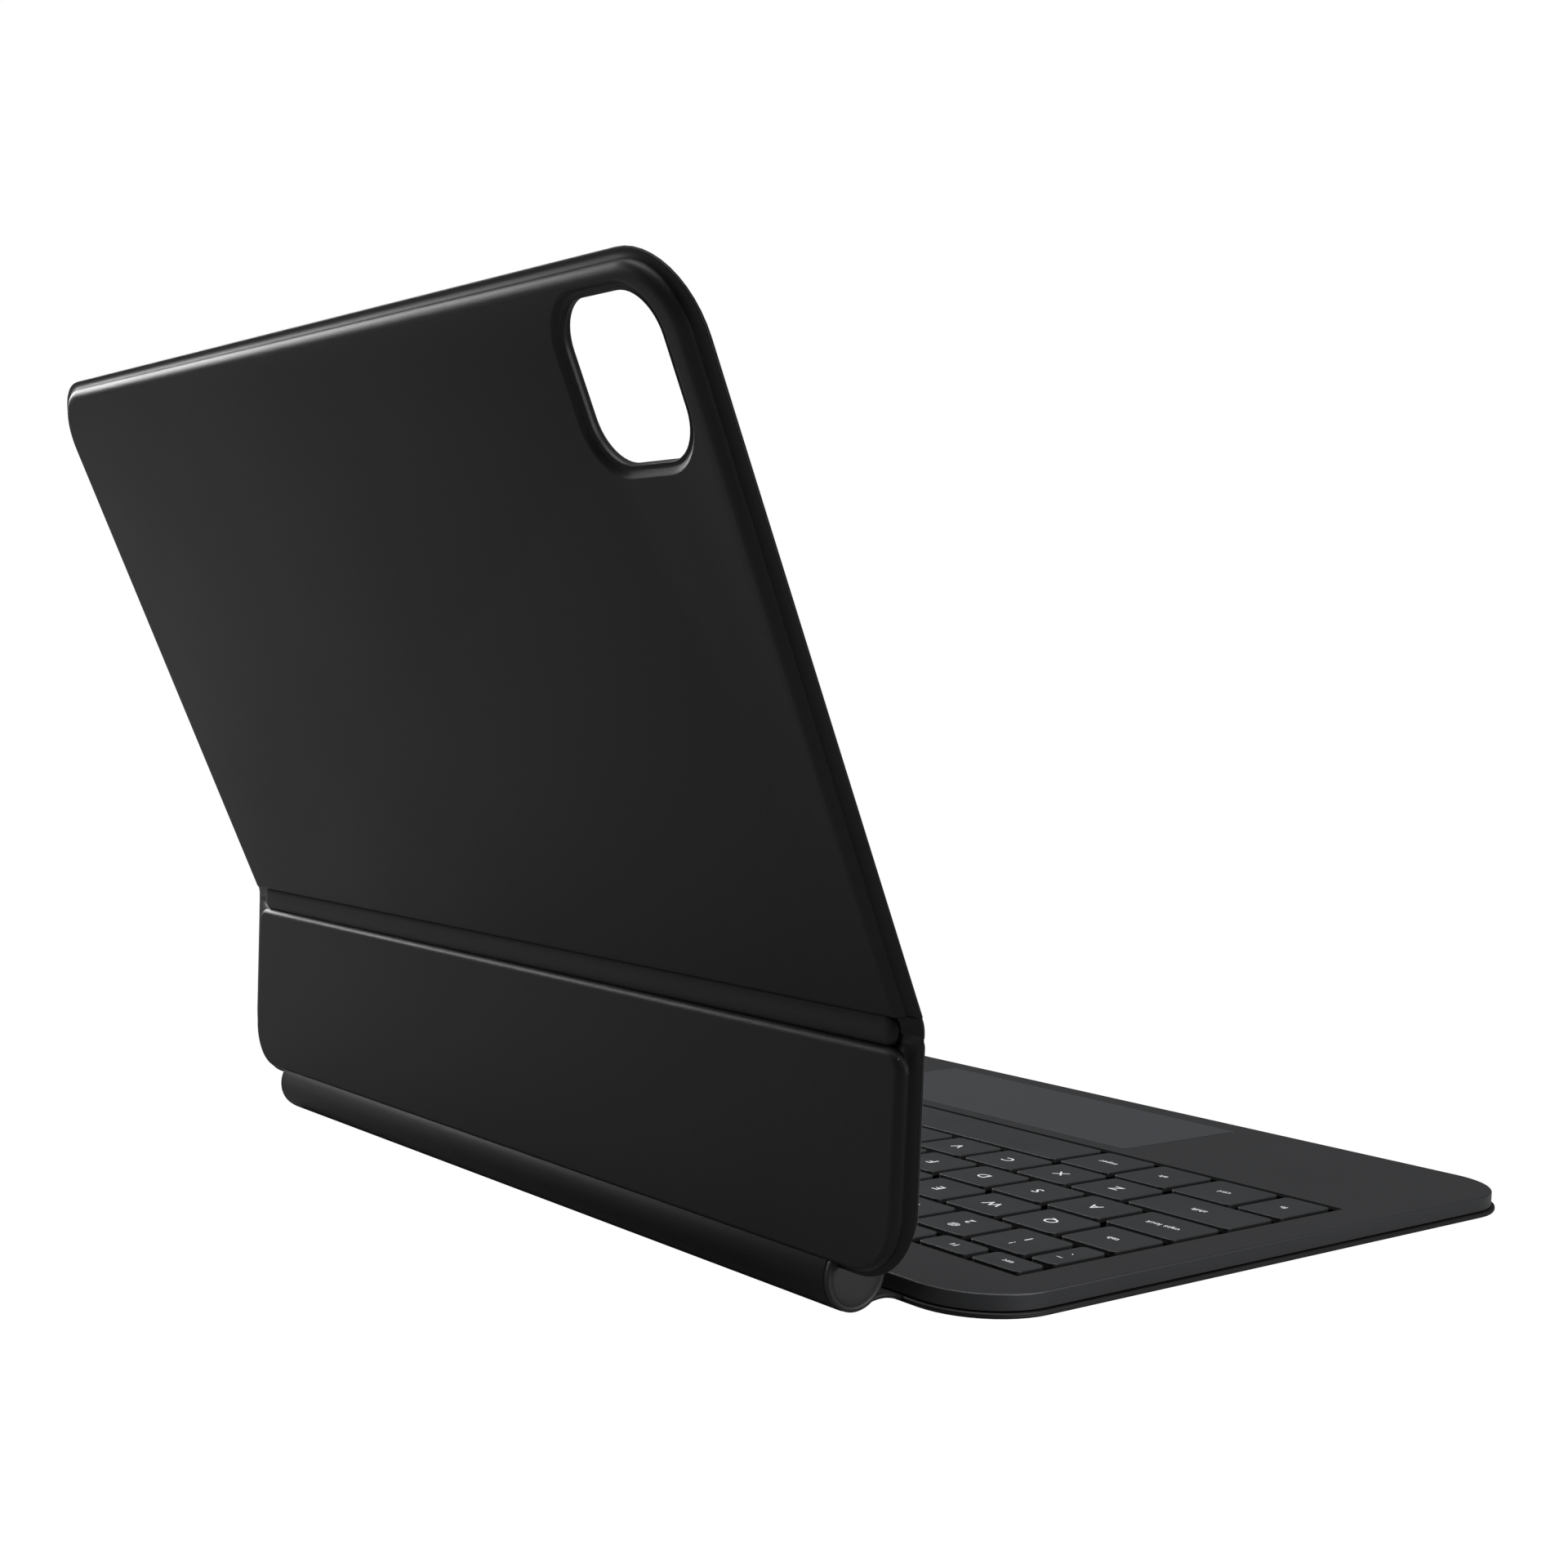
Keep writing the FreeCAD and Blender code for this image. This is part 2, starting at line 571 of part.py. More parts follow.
def make_lower_panel():
    lining = new_body("lower_inner_skin", lower_frame)
    lower_outline(lining, "inner_offset", LINING_TOP)
    barrel_room_cut(lining)
    skin = new_body("lower_outer_skin", lower_frame)
    lower_outline(skin, LINING_TOP, FLANGE_TOP)
    combine(skin, "Fuse", lower_field, "0", FLANGE_TOP, PANEL_TOP)
    combine(skin, "Cut", lower_field, "(board_inset - running_fit)", LINING_TOP, BOARD_TOP)
    hinge_leaf_cuts(skin)
    fold_leaf_cuts(skin, "-fold_height", "-fold_height + fold_leaf_reach", LINING_TOP)
    barrel_room_cut(skin)
    board = new_body("lower_board", lower_frame)
    lower_field(board, "board_inset", LINING_TOP, BOARD_TOP)
    hinge_leaf_cuts(board)
    fold_leaf_cuts(board, "-fold_height", "-fold_height + fold_leaf_reach", LINING_TOP)
    barrel_room_cut(board)


def leaf_spans():
    """The x range of each moving hinge leaf."""
    middle = "((inner_knuckle + outer_knuckle)/2)"
    return [(f"({c} - leaf_width/2)", f"({c} + leaf_width/2)") for c in (f"-{middle}", middle)]


def hinge_leaf_cuts(body):
    """Slots that the barrel's moving leaves lie in."""
    for left, right in leaf_spans():
        block(body, f"{left} - fit_gap", f"{right} + fit_gap", "-leaf_reach - fit_gap", "0",
              LINING_TOP, f"{LINING_TOP} + leaf_thick", cut=True)


def make_hinge_leaves():
    moving = []
    spans = [("-outer_knuckle", "-inner_knuckle"), ("inner_knuckle", "outer_knuckle")]
    for number, (left, right) in enumerate(spans):
        leaf = new_body(f"moving_knuckle_{number}", lower_frame, exported=False)
        rod(leaf, "barrel_radius", f"{left} + knuckle_gap", f"{right} - knuckle_gap", "0", "0")
        leaf_left, leaf_right = leaf_spans()[number]
        block(leaf, leaf_left, leaf_right, "-leaf_reach", "0",
              LINING_TOP, f"{LINING_TOP} + leaf_thick")
        rod(leaf, "pin_radius + running_fit", left, right, "0", "0", cut=True)
        moving.append(leaf)
    group("hinge_leaves", moving)


# ---------------------------------------------------------------------------------- fold hinge
def fold_leaf_spans():
    spans = []
    for centre in ("-fold_x", "fold_x"):
        spans.append((f"({centre} - fold_leaf_width/2)", f"({centre} + fold_leaf_width/2)"))
    return spans


def fold_leaf_cuts(body, front, rear, low):
    """Slots that the fold hinges' leaves lie in."""
    for left, right in fold_leaf_spans():
        block(body, f"{left} - fit_gap", f"{right} + fit_gap", f"{front} - fit_gap",
              f"{rear} + fit_gap", low, f"{low} + fold_leaf_thick", cut=True)


def make_fold_hinges():
    """Two slim friction hinges: an outer pair of knuckles below, one between them above."""
    below, above, pins = [], [], []
    third = "fold_leaf_width/3"
    level = f"({LINING_TOP} - fold_level)"
    for number, (left, right) in enumerate(fold_leaf_spans()):
        lower = new_body(f"fold_leaf_below_{number}", lower_frame, exported=False)
        ends = [(left, f"{left} + {third} - knuckle_gap"), (f"{right} - {third} + knuckle_gap", right)]
        block(lower, left, right, "-fold_height + fold_knuckle + knuckle_gap",
              "-fold_height + fold_leaf_reach", LINING_TOP, f"{LINING_TOP} + fold_leaf_thick")
        for start, end in ends:
            rod(lower, "fold_knuckle", start, end, "-fold_height", "fold_level")
            block(lower, start, end, "-fold_height + fold_pin + fold_fit",
                  "-fold_height + fold_leaf_reach", LINING_TOP, f"{LINING_TOP} + fold_leaf_thick")
        rod(lower, "fold_pin + fold_fit", left, right, "-fold_height", "fold_level", cut=True)
        below.append(lower)
        upper = new_body(f"fold_leaf_above_{number}", upper_frame, exported=False)
        start, end = f"{left} + {third}", f"{right} - {third}"
        block(upper, left, right, "-fold_leaf_reach", "-fold_knuckle - knuckle_gap",
              level, f"{level} + fold_leaf_thick")
        rod(upper, "fold_knuckle", start, end, "0", "0")
        block(upper, start, end, "-fold_leaf_reach", "-fold_pin - fold_fit",
              level, f"{level} + fold_leaf_thick")
        rod(upper, "fold_pin + fold_fit", left, right, "0", "0", cut=True)
        above.append(upper)
        pin = new_body(f"fold_pin_{number}", upper_frame, exported=False)
        rod(pin, "fold_pin", f"{left} - fold_pin_extra", f"{right} + fold_pin_extra", "0", "0")
        pins.append(pin)
    group("fold_leaves_lower", below)
    group("fold_leaves_upper", above)
    group("fold_pins", pins)


# ---------------------------------------------------------------------------------- upper panel
def shifted(text):
    """A panel level, counted from the fold's axis."""
    return f"({text} - fold_level)"


UP_INNER = shifted("inner_offset")
UP_LINING = shifted(LINING_TOP)
UP_FLANGE = shifted(FLANGE_TOP)
UP_BOARD = shifted(BOARD_TOP)
UP_TOP = shifted(PANEL_TOP)


def upper_outline(body, low, high):
    pad = slab(body, f"-{HALF}", HALF, "-upper_length", "-fold_half_gap", low, high)
    return rounded(body, pad, "upper_corner", corners_at(f"-{HALF}", HALF, "-upper_length", None))


def window(body, grow, low, high):
    """Fills the camera's rounded opening, grown on every side."""
    wide, tall = f"(window_width/2 + {grow})", f"(window_height/2 + {grow})"
    tile = block(body, f"window_x - {wide}", f"window_x + {wide}",
                 f"-window_up - {tall}", f"-window_up + {tall}", low, high)
    rounded(body, tile, f"window_corner + {grow}", upright)


MAGNETS_IN_ROW = 6


def magnet_places():
    """Two rows of magnets behind the tablet."""
    first = -(MAGNETS_IN_ROW - 1) / 2
    columns = [f"({first + number}*magnet_pitch)" for number in range(MAGNETS_IN_ROW)]
    return [(x, up) for up in ("magnet_low", "magnet_high") for x in columns]


def make_upper_panel():
    lining = new_body("upper_inner_skin", upper_frame)
    upper_outline(lining, UP_INNER, UP_LINING)
    contact_cut(lining, UP_INNER, UP_LINING)
    combine(lining, "Cut", window, "0", f"{UP_INNER} - cut_margin", f"{UP_TOP} + cut_margin")
    skin = new_body("upper_outer_skin", upper_frame)
    upper_outline(skin, UP_LINING, UP_FLANGE)
    combine(skin, "Fuse", upper_field, "0", UP_FLANGE, UP_TOP)
    combine(skin, "Cut", upper_field, "(board_inset - running_fit)", UP_LINING, UP_BOARD)
    combine(skin, "Fuse", window, "(window_rim - running_fit)", UP_LINING, UP_TOP)
    fold_leaf_cuts(skin, "-fold_leaf_reach", "0", UP_LINING)
    combine(skin, "Cut", window, "0", f"{UP_INNER} - cut_margin", f"{UP_TOP} + cut_margin")
    board = new_body("upper_board", upper_frame)
    upper_field(board, "board_inset", UP_LINING, UP_BOARD)
    fold_leaf_cuts(board, "-fold_leaf_reach", "0", UP_LINING)
    contact_cut(board, UP_LINING, f"{UP_INNER} + contact_thick")
    for x, up in magnet_places():
        post(board, "magnet_radius + fit_gap", x, f"-{up}", UP_LINING,
             f"{UP_LINING} + magnet_thick", cut=True)
    combine(board, "Cut", window, "window_rim", UP_LINING, UP_BOARD)
    magnets = []
    for number, (x, up) in enumerate(magnet_places()):
        magnet = new_body(f"magnet_{number}", upper_frame, exported=False)
        post(magnet, "magnet_radius", x, f"-{up}", UP_LINING, f"{UP_LINING} + magnet_thick")
        magnets.append(magnet)
    group("panel_magnets", magnets)


def upper_field(body, inset, low, high):
    """Fills the upper panel's raised field, drawn in by inset, with the panel's own corners."""
    x = f"({HALF} - flange - {inset})"
    top = f"(-upper_length + top_flange + {inset})"
    field = block(body, f"-{x}", x, top, f"-channel_above - {inset}", low, high)
    rounded(body, field, f"upper_corner - flange - {inset}", corners_at(f"-{x}", x, top, None))


def contact_cut(body, low, high):
    gap = "fit_gap"
    block(body, f"contact_x - contact_width/2 - {gap}", f"contact_x + contact_width/2 + {gap}",
          f"-contact_up - contact_length/2 - {gap}", f"-contact_up + contact_length/2 + {gap}",
          low, high, cut=True)


def make_contacts():
    """The block and the three sprung pins that meet the tablet's own contacts."""
    holder = new_body("contact_block", upper_frame)
    slab(holder, "contact_x - contact_width/2", "contact_x + contact_width/2",
         "-contact_up - contact_length/2", "-contact_up + contact_length/2",
         UP_INNER, f"{UP_INNER} + contact_thick")
    pins = []
    for number, step in enumerate(("-contact_pitch", "0", "contact_pitch")):
        place = f"(-contact_up + {step})"
        post(holder, "contact_pin_radius + running_fit", "contact_x", place,
             UP_INNER, f"{UP_INNER} + contact_pin_depth", cut=True)
        pin = new_body(f"contact_pin_{number}", upper_frame, exported=False)
        post(pin, "contact_pin_radius", "contact_x", place, f"{UP_INNER} - contact_proud",
             f"{UP_INNER} + contact_pin_depth")
        pins.append(pin)
    group("contact_pins", pins)


# ---------------------------------------------------------------------------------- build
make_base_skin()
make_bottom_tray()
make_deck()
make_key_supports()
make_keys()
make_trackpad()
make_main_board()
make_case_screws()
make_barrel()
make_lower_panel()
make_hinge_leaves()
make_fold_hinges()
make_upper_panel()
make_contacts()
doc.recompute()

faults = [o.Name for o in doc.Objects if {"Invalid", "Error"} & set(o.State)]
faults += [n.Label for n in nodes if n.Shape.isNull() or not n.Shape.isValid()]
if faults:
    raise RuntimeError(f"failed: {faults}")
os.makedirs("parts", exist_ok=True)
for node in nodes:
    node.Shape.exportStep(f"parts/{node.Label}.step")
print(len(nodes), "nodes")
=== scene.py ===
# %% [markdown]
# # A folding keyboard case for a tablet
# The real case is three stiff boards wrapped in one soft black skin. The keyboard lies on the
# desk. Behind it a barrel hinge carries a low upright panel, and a slim fold above that carries
# the tall panel, which leans back and holds the tablet by magnets.
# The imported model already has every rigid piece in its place. Here we only dress it: metal, key
# and glass pieces get a finish, and each skin is made again with its soft edges.

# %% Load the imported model
import json
import math

import bmesh
import bpy
from mathutils import Matrix, Vector


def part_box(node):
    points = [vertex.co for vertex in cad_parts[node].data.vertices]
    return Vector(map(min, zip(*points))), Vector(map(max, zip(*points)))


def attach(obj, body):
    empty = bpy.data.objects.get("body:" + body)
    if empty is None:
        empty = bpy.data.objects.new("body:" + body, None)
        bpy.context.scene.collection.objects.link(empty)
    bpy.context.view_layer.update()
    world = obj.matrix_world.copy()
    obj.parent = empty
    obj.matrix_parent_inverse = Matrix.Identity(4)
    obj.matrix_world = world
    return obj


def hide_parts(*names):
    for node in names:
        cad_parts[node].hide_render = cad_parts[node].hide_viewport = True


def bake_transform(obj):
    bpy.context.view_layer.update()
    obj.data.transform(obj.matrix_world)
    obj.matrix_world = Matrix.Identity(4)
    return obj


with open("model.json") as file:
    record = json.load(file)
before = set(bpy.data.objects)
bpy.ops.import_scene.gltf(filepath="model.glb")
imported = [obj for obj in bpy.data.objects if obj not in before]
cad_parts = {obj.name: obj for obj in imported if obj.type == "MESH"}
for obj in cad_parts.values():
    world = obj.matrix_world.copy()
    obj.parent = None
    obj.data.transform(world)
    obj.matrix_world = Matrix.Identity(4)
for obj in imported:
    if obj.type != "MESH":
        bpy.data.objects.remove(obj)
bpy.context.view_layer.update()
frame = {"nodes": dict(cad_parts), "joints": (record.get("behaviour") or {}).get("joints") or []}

MM = 0.001  # sizes below are in millimetres, and Blender works in metres
joints = {joint["name"]: joint for joint in frame["joints"]}


# %% [markdown]
# ## Sums on a shader's values
# A finish is a tree of nodes. Wiring Math nodes by hand is slow to read, so a value in the tree
# is wrapped in a small class whose operators add the Math nodes. Then `1 - mask` means what it
# says. Every other node comes from one method, `add`, for a material and for the sky alike.

# %% A value, and a finish that holds its nodes
class Value:
    """A number inside a finish. Python's sums on it become Math nodes."""

    def __init__(self, finish, socket):
        self.finish = finish
        self.socket = socket

    def maths(self, operation, first, second):
        return self.finish.add("Math", {"operation": operation}, {0: first, 1: second})

    def __add__(self, other):
        return self.maths("ADD", self, other)

    def __radd__(self, other):
        return self.maths("ADD", other, self)

    def __sub__(self, other):
        return self.maths("SUBTRACT", self, other)

    def __rsub__(self, other):
        return self.maths("SUBTRACT", other, self)

    def __mul__(self, other):
        return self.maths("MULTIPLY", self, other)

    def __rmul__(self, other):
        return self.maths("MULTIPLY", other, self)


class Finish:
    """One material or sky, and the one way in which nodes are added to it."""

    def __init__(self, name, kind=bpy.data.materials, shader="Principled BSDF"):
        self.material = kind.new(name)
        self.material.use_nodes = True
        self.tree = self.material.node_tree
        self.shader = self.tree.nodes[shader]

    def fill(self, node, sockets):
        """Sets a node's inputs: a Value is linked, and a number or colour is set."""
        for place, value in sockets.items():
            if isinstance(value, Value):
                self.tree.links.new(value.socket, node.inputs[place])
            else:
                node.inputs[place].default_value = value

    def add(self, kind, settings=None, sockets=None, out=0):
        """Any node: its kind, the settings made first, its inputs, and which output to give."""
        node = self.tree.nodes.new("ShaderNode" + kind)
        for word, value in (settings or {}).items():
            if word == "stops":
                for stop, (position, level) in zip(node.color_ramp.elements, value):
                    stop.position = position
                    stop.color = (level, level, level, 1)
            else:
                setattr(node, word, value)
        self.fill(node, sockets or {})
        return Value(self, node.outputs[out])

    def place(self):
        """Where a point of the piece is, in metres, as it lies at rest."""
        return self.add("TexCoord", out=3)

    def stretched(self, scale):
        """The same place with each axis scaled, for grain that runs one way."""
        return self.add("Mapping", {}, {"Vector": self.place(), "Scale": scale})

    def noise(self, scale, detail=3.0, vector=None):
        """Cloudy values from 0 to 1; a larger scale makes smaller clouds."""
        where = vector or self.place()
        return self.add("TexNoise", {}, {"Vector": where, "Scale": scale, "Detail": detail})

    def cells(self, scale):
        """Small rounded pebbles, as pressed into a skin."""
        return self.add("TexVoronoi", {"feature": "SMOOTH_F1"},
                        {"Vector": self.place(), "Scale": scale, "Smoothness": 0.6})

    def blend(self, factor, first, second):
        """Two colours, either of them a triple or an earlier blend."""
        first, second = [c if isinstance(c, Value) else (*c, 1) for c in (first, second)]
        return self.add("Mix", {"data_type": "RGBA"}, {0: factor, 6: first, 7: second}, out=2)

    def bump(self, height, depth, strength):
        """Relief too fine to model, depth metres from its lowest to its highest."""
        return self.add("Bump", {}, {"Height": height, "Distance": depth, "Strength": strength})

    def surface(self, **sockets):
        """Feeds the shader's own sockets, written with _ for each space."""
        self.fill(self.shader, {word.replace("_", " "): value for word, value in sockets.items()})
        return self.material


print("a finish is written as", Finish.__name__, "and its sums as", Value.__name__)


# %% [markdown]
# ## The skins
# The outside is a matt polyurethane skin, almost black. It is not one flat black: handling
# leaves broad cloudy patches that are a little duller or shinier, and under them is a pressed
# grain finer than half a millimetre. The inside is lined with a fine brushed microfibre.
# An image of leather would repeat and blur; noise by position does neither.

# %% Soft black skin and microfibre lining
def soft_skin():
    finish = Finish("soft_touch_skin")
    clouds = finish.noise(22.0, 4.0)
    patches = finish.add("ValToRGB", {"stops": [(0.35, 0.0), (0.68, 1.0)]}, {"Fac": clouds})
    speckle = finish.noise(3200.0, 2.0)
    pebbles = finish.cells(2300.0)
    colour = finish.blend(patches * 0.7 + speckle * 0.3, (0.0040, 0.0040, 0.0045),
                          (0.0074, 0.0072, 0.0082))
    grain = pebbles * 0.7 + speckle * 0.3
    return finish.surface(
        Base_Color=colour,
        Roughness=0.36 + clouds * 0.12 + speckle * 0.08,
        Normal=finish.bump(grain, 0.03 * MM, 0.45),
        Specular_IOR_Level=0.30,
    )


def microfibre():
    finish = Finish("microfibre_lining")
    nap = finish.noise(900.0, 5.0, finish.stretched((0.35, 1.0, 1.0)))
    fibres = finish.noise(5200.0, 3.0)
    colour = finish.blend(nap * 0.6 + fibres * 0.4, (0.012, 0.012, 0.013), (0.034, 0.034, 0.037))
    return finish.surface(
        Base_Color=colour,
        Roughness=0.84 + fibres * 0.14,
        Normal=finish.bump(nap * 0.5 + fibres * 0.5, 0.05 * MM, 0.6),
        Sheen_Weight=0.22,
        Sheen_Roughness=0.45,
    )


skin_finish = soft_skin()
lining_finish = microfibre()
print("skins:", skin_finish.name, lining_finish.name)


# %% [markdown]
# ## Metals
# The deck round the keys is bead-blasted and dyed dark grey: tiny pits spread a highlight, but
# it is still metal. Steel inside is rolled, so its grain runs one way. One function makes both
# kinds from a colour, a grain direction and a roughness.

# %% Deck metal, steel and platings
def metal(name, dark, light, roughness, direction, metallic=1.0, grain_scale=1500.0):
    finish = Finish(name)
    grain = finish.noise(grain_scale, 4.0, finish.stretched(direction))
    tarnish = finish.noise(35.0, 3.0)
    colour = finish.blend(grain * 0.55 + tarnish * 0.45, dark, light)
    return finish.surface(
        Base_Color=colour,
        Metallic=metallic,
        Roughness=roughness + grain * 0.10 + tarnish * 0.05,
        Normal=finish.bump(grain, 0.02 * MM, 0.5),
    )


EVEN = (1.0, 1.0, 1.0)
ROLLED = (0.06, 1.0, 1.0)
deck_finish = metal("blasted_deck", (0.030, 0.031, 0.033), (0.048, 0.049, 0.052), 0.34, EVEN,
                    metallic=0.60, grain_scale=3800.0)
steel_finish = metal("rolled_steel", (0.36, 0.36, 0.38), (0.52, 0.52, 0.54), 0.28, ROLLED)
nickel_finish = metal("nickel_plating", (0.58, 0.57, 0.54), (0.72, 0.71, 0.68), 0.16, EVEN)
black_steel_finish = metal("blackened_steel", (0.007, 0.007, 0.008), (0.012, 0.012, 0.013), 0.5,
                           ROLLED, metallic=0.3)
gold_finish = metal("gold_plating", (0.66, 0.44, 0.16), (0.82, 0.60, 0.28), 0.18, EVEN)
print("metals:", deck_finish.name, steel_finish.name, nickel_finish.name, gold_finish.name)


# %% [markdown]
# ## Moulded, printed and glassy pieces
# Keys are moulded in a fine spark-eroded mould, so they are matt with a tiny even texture, and
# their tops are polished a little by fingers. Their side walls are painted nearly black as painted
# shade, for the shadow that falls between the caps, so each cap stands in a dark gap. The trackpad
# is etched glass: smooth, satin, one tone lighter. The hidden board, film and domes differ only in
# colour, gloss and grain.

# %% Plastics, glass and ink
def moulded(name, dark, light, roughness, grain_scale, depth, coat=0.0, sides=None):
    finish = Finish(name)
    grain = finish.noise(grain_scale, 3.0)
    wear = finish.noise(90.0, 4.0)
    colour = finish.blend(wear * 0.6 + grain * 0.4, dark, light)
    # Painted shade: the further a face turns away from straight up, the closer its colour gets to
    # the sides colour, which stands for the shadow on a cap's side walls.
    if sides:
        unshaded_top_share = finish.add("SeparateXYZ", {}, {0: finish.add("TexCoord", out=1)}, out=2)
        colour = finish.blend(1 - unshaded_top_share, colour, sides)
    return finish.surface(
        Base_Color=colour,
        Roughness=roughness + wear * 0.10 + grain * 0.06,
        Normal=finish.bump(grain, depth, 0.5),
        Coat_Weight=coat,
        Coat_Roughness=0.2,
    )


# The keys' sides colour is painted shade on their shadowed side walls, not a colour of the
# plastic.
key_finish = moulded("key_plastic", (0.0105, 0.0115, 0.0130), (0.0165, 0.0180, 0.0200),
                     0.44, 4200.0, 0.015 * MM, sides=(0.001, 0.001, 0.001))
glass_finish = moulded("trackpad_glass", (0.026, 0.028, 0.032), (0.032, 0.034, 0.039),
                       0.24, 6000.0, 0.004 * MM, coat=0.25)
cap_finish = moulded("end_cap_plastic", (0.010, 0.010, 0.011), (0.018, 0.018, 0.019),
                     0.40, 2600.0, 0.02 * MM)
board_finish = moulded("glass_fibre_board", (0.26, 0.23, 0.16), (0.36, 0.33, 0.25),
                       0.55, 700.0, 0.03 * MM)
circuit_finish = moulded("solder_mask", (0.010, 0.060, 0.030), (0.018, 0.095, 0.050),
                         0.30, 900.0, 0.02 * MM)
film_finish = moulded("membrane_film", (0.006, 0.006, 0.007), (0.010, 0.010, 0.011),
                      0.60, 1200.0, 0.01 * MM)
dome_finish = moulded("dome_rubber", (0.009, 0.009, 0.010), (0.014, 0.014, 0.015),
                      0.70, 1500.0, 0.02 * MM)
ink_finish = moulded("legend_ink", (0.55, 0.56, 0.58), (0.78, 0.79, 0.80),
                     0.50, 5200.0, 0.005 * MM)
print("moulded finishes:", key_finish.name, glass_finish.name, cap_finish.name)


# %% [markdown]
# ## Dress the pieces that stay as they are
# Rigid pieces have their true shape already, so each only takes a finish in its own slot. One
# list of finishes and their pieces is easier to check than fifty assignments.

# %% Finishes on the carried-over pieces
single_keys = [name for name in frame["nodes"] if name.startswith("key_") and
               name not in ("key_support_plate", "key_membrane")]
grouped_keys = ["function_row_keys", "number_and_symbol_keys", "modifier_and_arrow_keys"]
DRESSED = [
    (deck_finish, ["deck"]),
    (glass_finish, ["trackpad"]),
    (key_finish, single_keys + grouped_keys),
    (black_steel_finish, ["key_support_plate", "bottom_tray", "trackpad_frame"]),
    (steel_finish, ["case_screws", "hinge_barrel", "hinge_pin", "hinge_leaves",
                    "fold_leaves_lower", "fold_leaves_upper", "fold_pins"]),
    (nickel_finish, ["panel_magnets"]),
    (gold_finish, ["contact_pins"]),
    (cap_finish, ["contact_block"]),
    (board_finish, ["lower_board", "upper_board"]),
    (circuit_finish, ["main_board"]),
    (film_finish, ["key_membrane"]),
    (dome_finish, ["rubber_domes", "trackpad_switch"]),
]
for finish, names in DRESSED:
    for name in names:
        materials = frame["nodes"][name].data.materials
        materials.clear()
        materials.append(finish)
print("dressed", sum(len(names) for finish, names in DRESSED), "pieces")


# %% [markdown]
# ## Where the panels stand
# Skins are easiest to draw flat: across the case, up the panel, and outward. Three small
# functions then put such a point in its place. The lower panel stands upright on the barrel
# hinge; the upper panel leans back from the fold; and the fold itself bends evenly from one to
# the other. Their pivots are the joints' own, read from the frame.

# %% From flat drawing to standing panel
barrel_y, barrel_z = joints["panel_hinge"]["pos_m"][1:]
fold_y, fold_z = joints["fold_hinge"]["pos_m"][1:]
FOLD_LEVEL = fold_y - barrel_y
LEAN = math.radians(24.7)
BEND_HALF = 1.0 * MM  # the skin bends over this length on each side of the fold
LINING_THICK = 0.3 * MM


def on_lower(across, up, out):
    """up is the height above the barrel's axis, and out the distance behind it."""
    return Vector((across, barrel_y + out, barrel_z + up))


def on_upper(across, up, out):
    """up is the distance from the fold, and out is still counted from the barrel's axis."""
    level = out - FOLD_LEVEL
    return Vector((across, fold_y + math.sin(LEAN) * up + math.cos(LEAN) * level,
                   fold_z + math.cos(LEAN) * up - math.sin(LEAN) * level))


def on_fold(across, up, out):
    """up is counted from the fold: straight below it and above it, with a short arc between."""
    share = min(max((up + BEND_HALF) / (2 * BEND_HALF), 0.0), 1.0)
    turn = LEAN * share
    radius = 2 * BEND_HALF / LEAN
    below, above = min(up + BEND_HALF, 0.0), max(up - BEND_HALF, 0.0)
    y = radius * (1 - math.cos(turn)) + above * math.sin(LEAN)
    z = -BEND_HALF + below + radius * math.sin(turn) + above * math.cos(LEAN)
    level = out - FOLD_LEVEL
    return Vector((across, fold_y + y + math.cos(turn) * level,
                   fold_z + z - math.sin(turn) * level))


def on_base(across, back, up):
    return Vector((across, back, up))


panel_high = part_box("upper_outer_skin")[1]
HALF = panel_high.x
LOWER_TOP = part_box("lower_outer_skin")[1].z - barrel_z
LOWER_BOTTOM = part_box("lower_outer_skin")[0].z - barrel_z
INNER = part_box("lower_inner_skin")[0].y - barrel_y
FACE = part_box("lower_outer_skin")[1].y - barrel_y
lean_drop = math.sin(LEAN) * (LINING_THICK + INNER - FOLD_LEVEL)
UPPER_TOP = (panel_high.z - fold_z + lean_drop) / math.cos(LEAN)
FOLD_TO_EDGE = fold_z - barrel_z - LOWER_TOP
print("panel half width", round(HALF / MM, 2), "upper", round(UPPER_TOP / MM, 2),
      "lower", round(LOWER_BOTTOM / MM, 2), "to", round(LOWER_TOP / MM, 2),
      "levels", round(INNER / MM, 2), round(FACE / MM, 2))


# %% [markdown]
# ## Loops and skins
# A wrapped board is a stack of rounded rectangles: one loop round the underside, a few round the
# edge, and more up the soft step to the face. Each loop has the same number of points, so
# neighbours join with quads, and the flat middle is filled last. A camera window is a second
# stack inside the first. A bevel modifier would be quicker, but could not give a flange, a step
# and a lip in one skin.

# %% Loops, and a mesh from stacks of loops
ARC_STEPS = 12


def rounded_loop(left, right, low, high, radius_low, radius_high):
    """Points round a rectangle, with one corner radius for its low side and one for its high."""
    corners = [(right - radius_high, high - radius_high, radius_high, 0),
               (left + radius_high, high - radius_high, radius_high, 90),
               (left + radius_low, low + radius_low, radius_low, 180),
               (right - radius_low, low + radius_low, radius_low, 270)]
    points = []
    for x, y, radius, start in corners:
        for step in range(ARC_STEPS + 1):
            angle = math.radians(start + 90 * step / ARC_STEPS)
            points.append((x + radius * math.cos(angle), y + radius * math.sin(angle)))
    return points


def finished(name, mesh, material, body):
    """Turns a bmesh into a smooth piece. A piece given no body is left unattached."""
    bmesh.ops.recalc_face_normals(mesh, faces=mesh.faces)
    data = bpy.data.meshes.new(name)
    mesh.to_mesh(data)
    mesh.free()
    data.shade_smooth()
    data.materials.append(material)
    piece = bpy.data.objects.new(name, data)
    bpy.context.scene.collection.objects.link(piece)
    if body:
        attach(piece, body)
    print(name, len(data.vertices), "points,", len(data.polygons), "faces")
    return piece


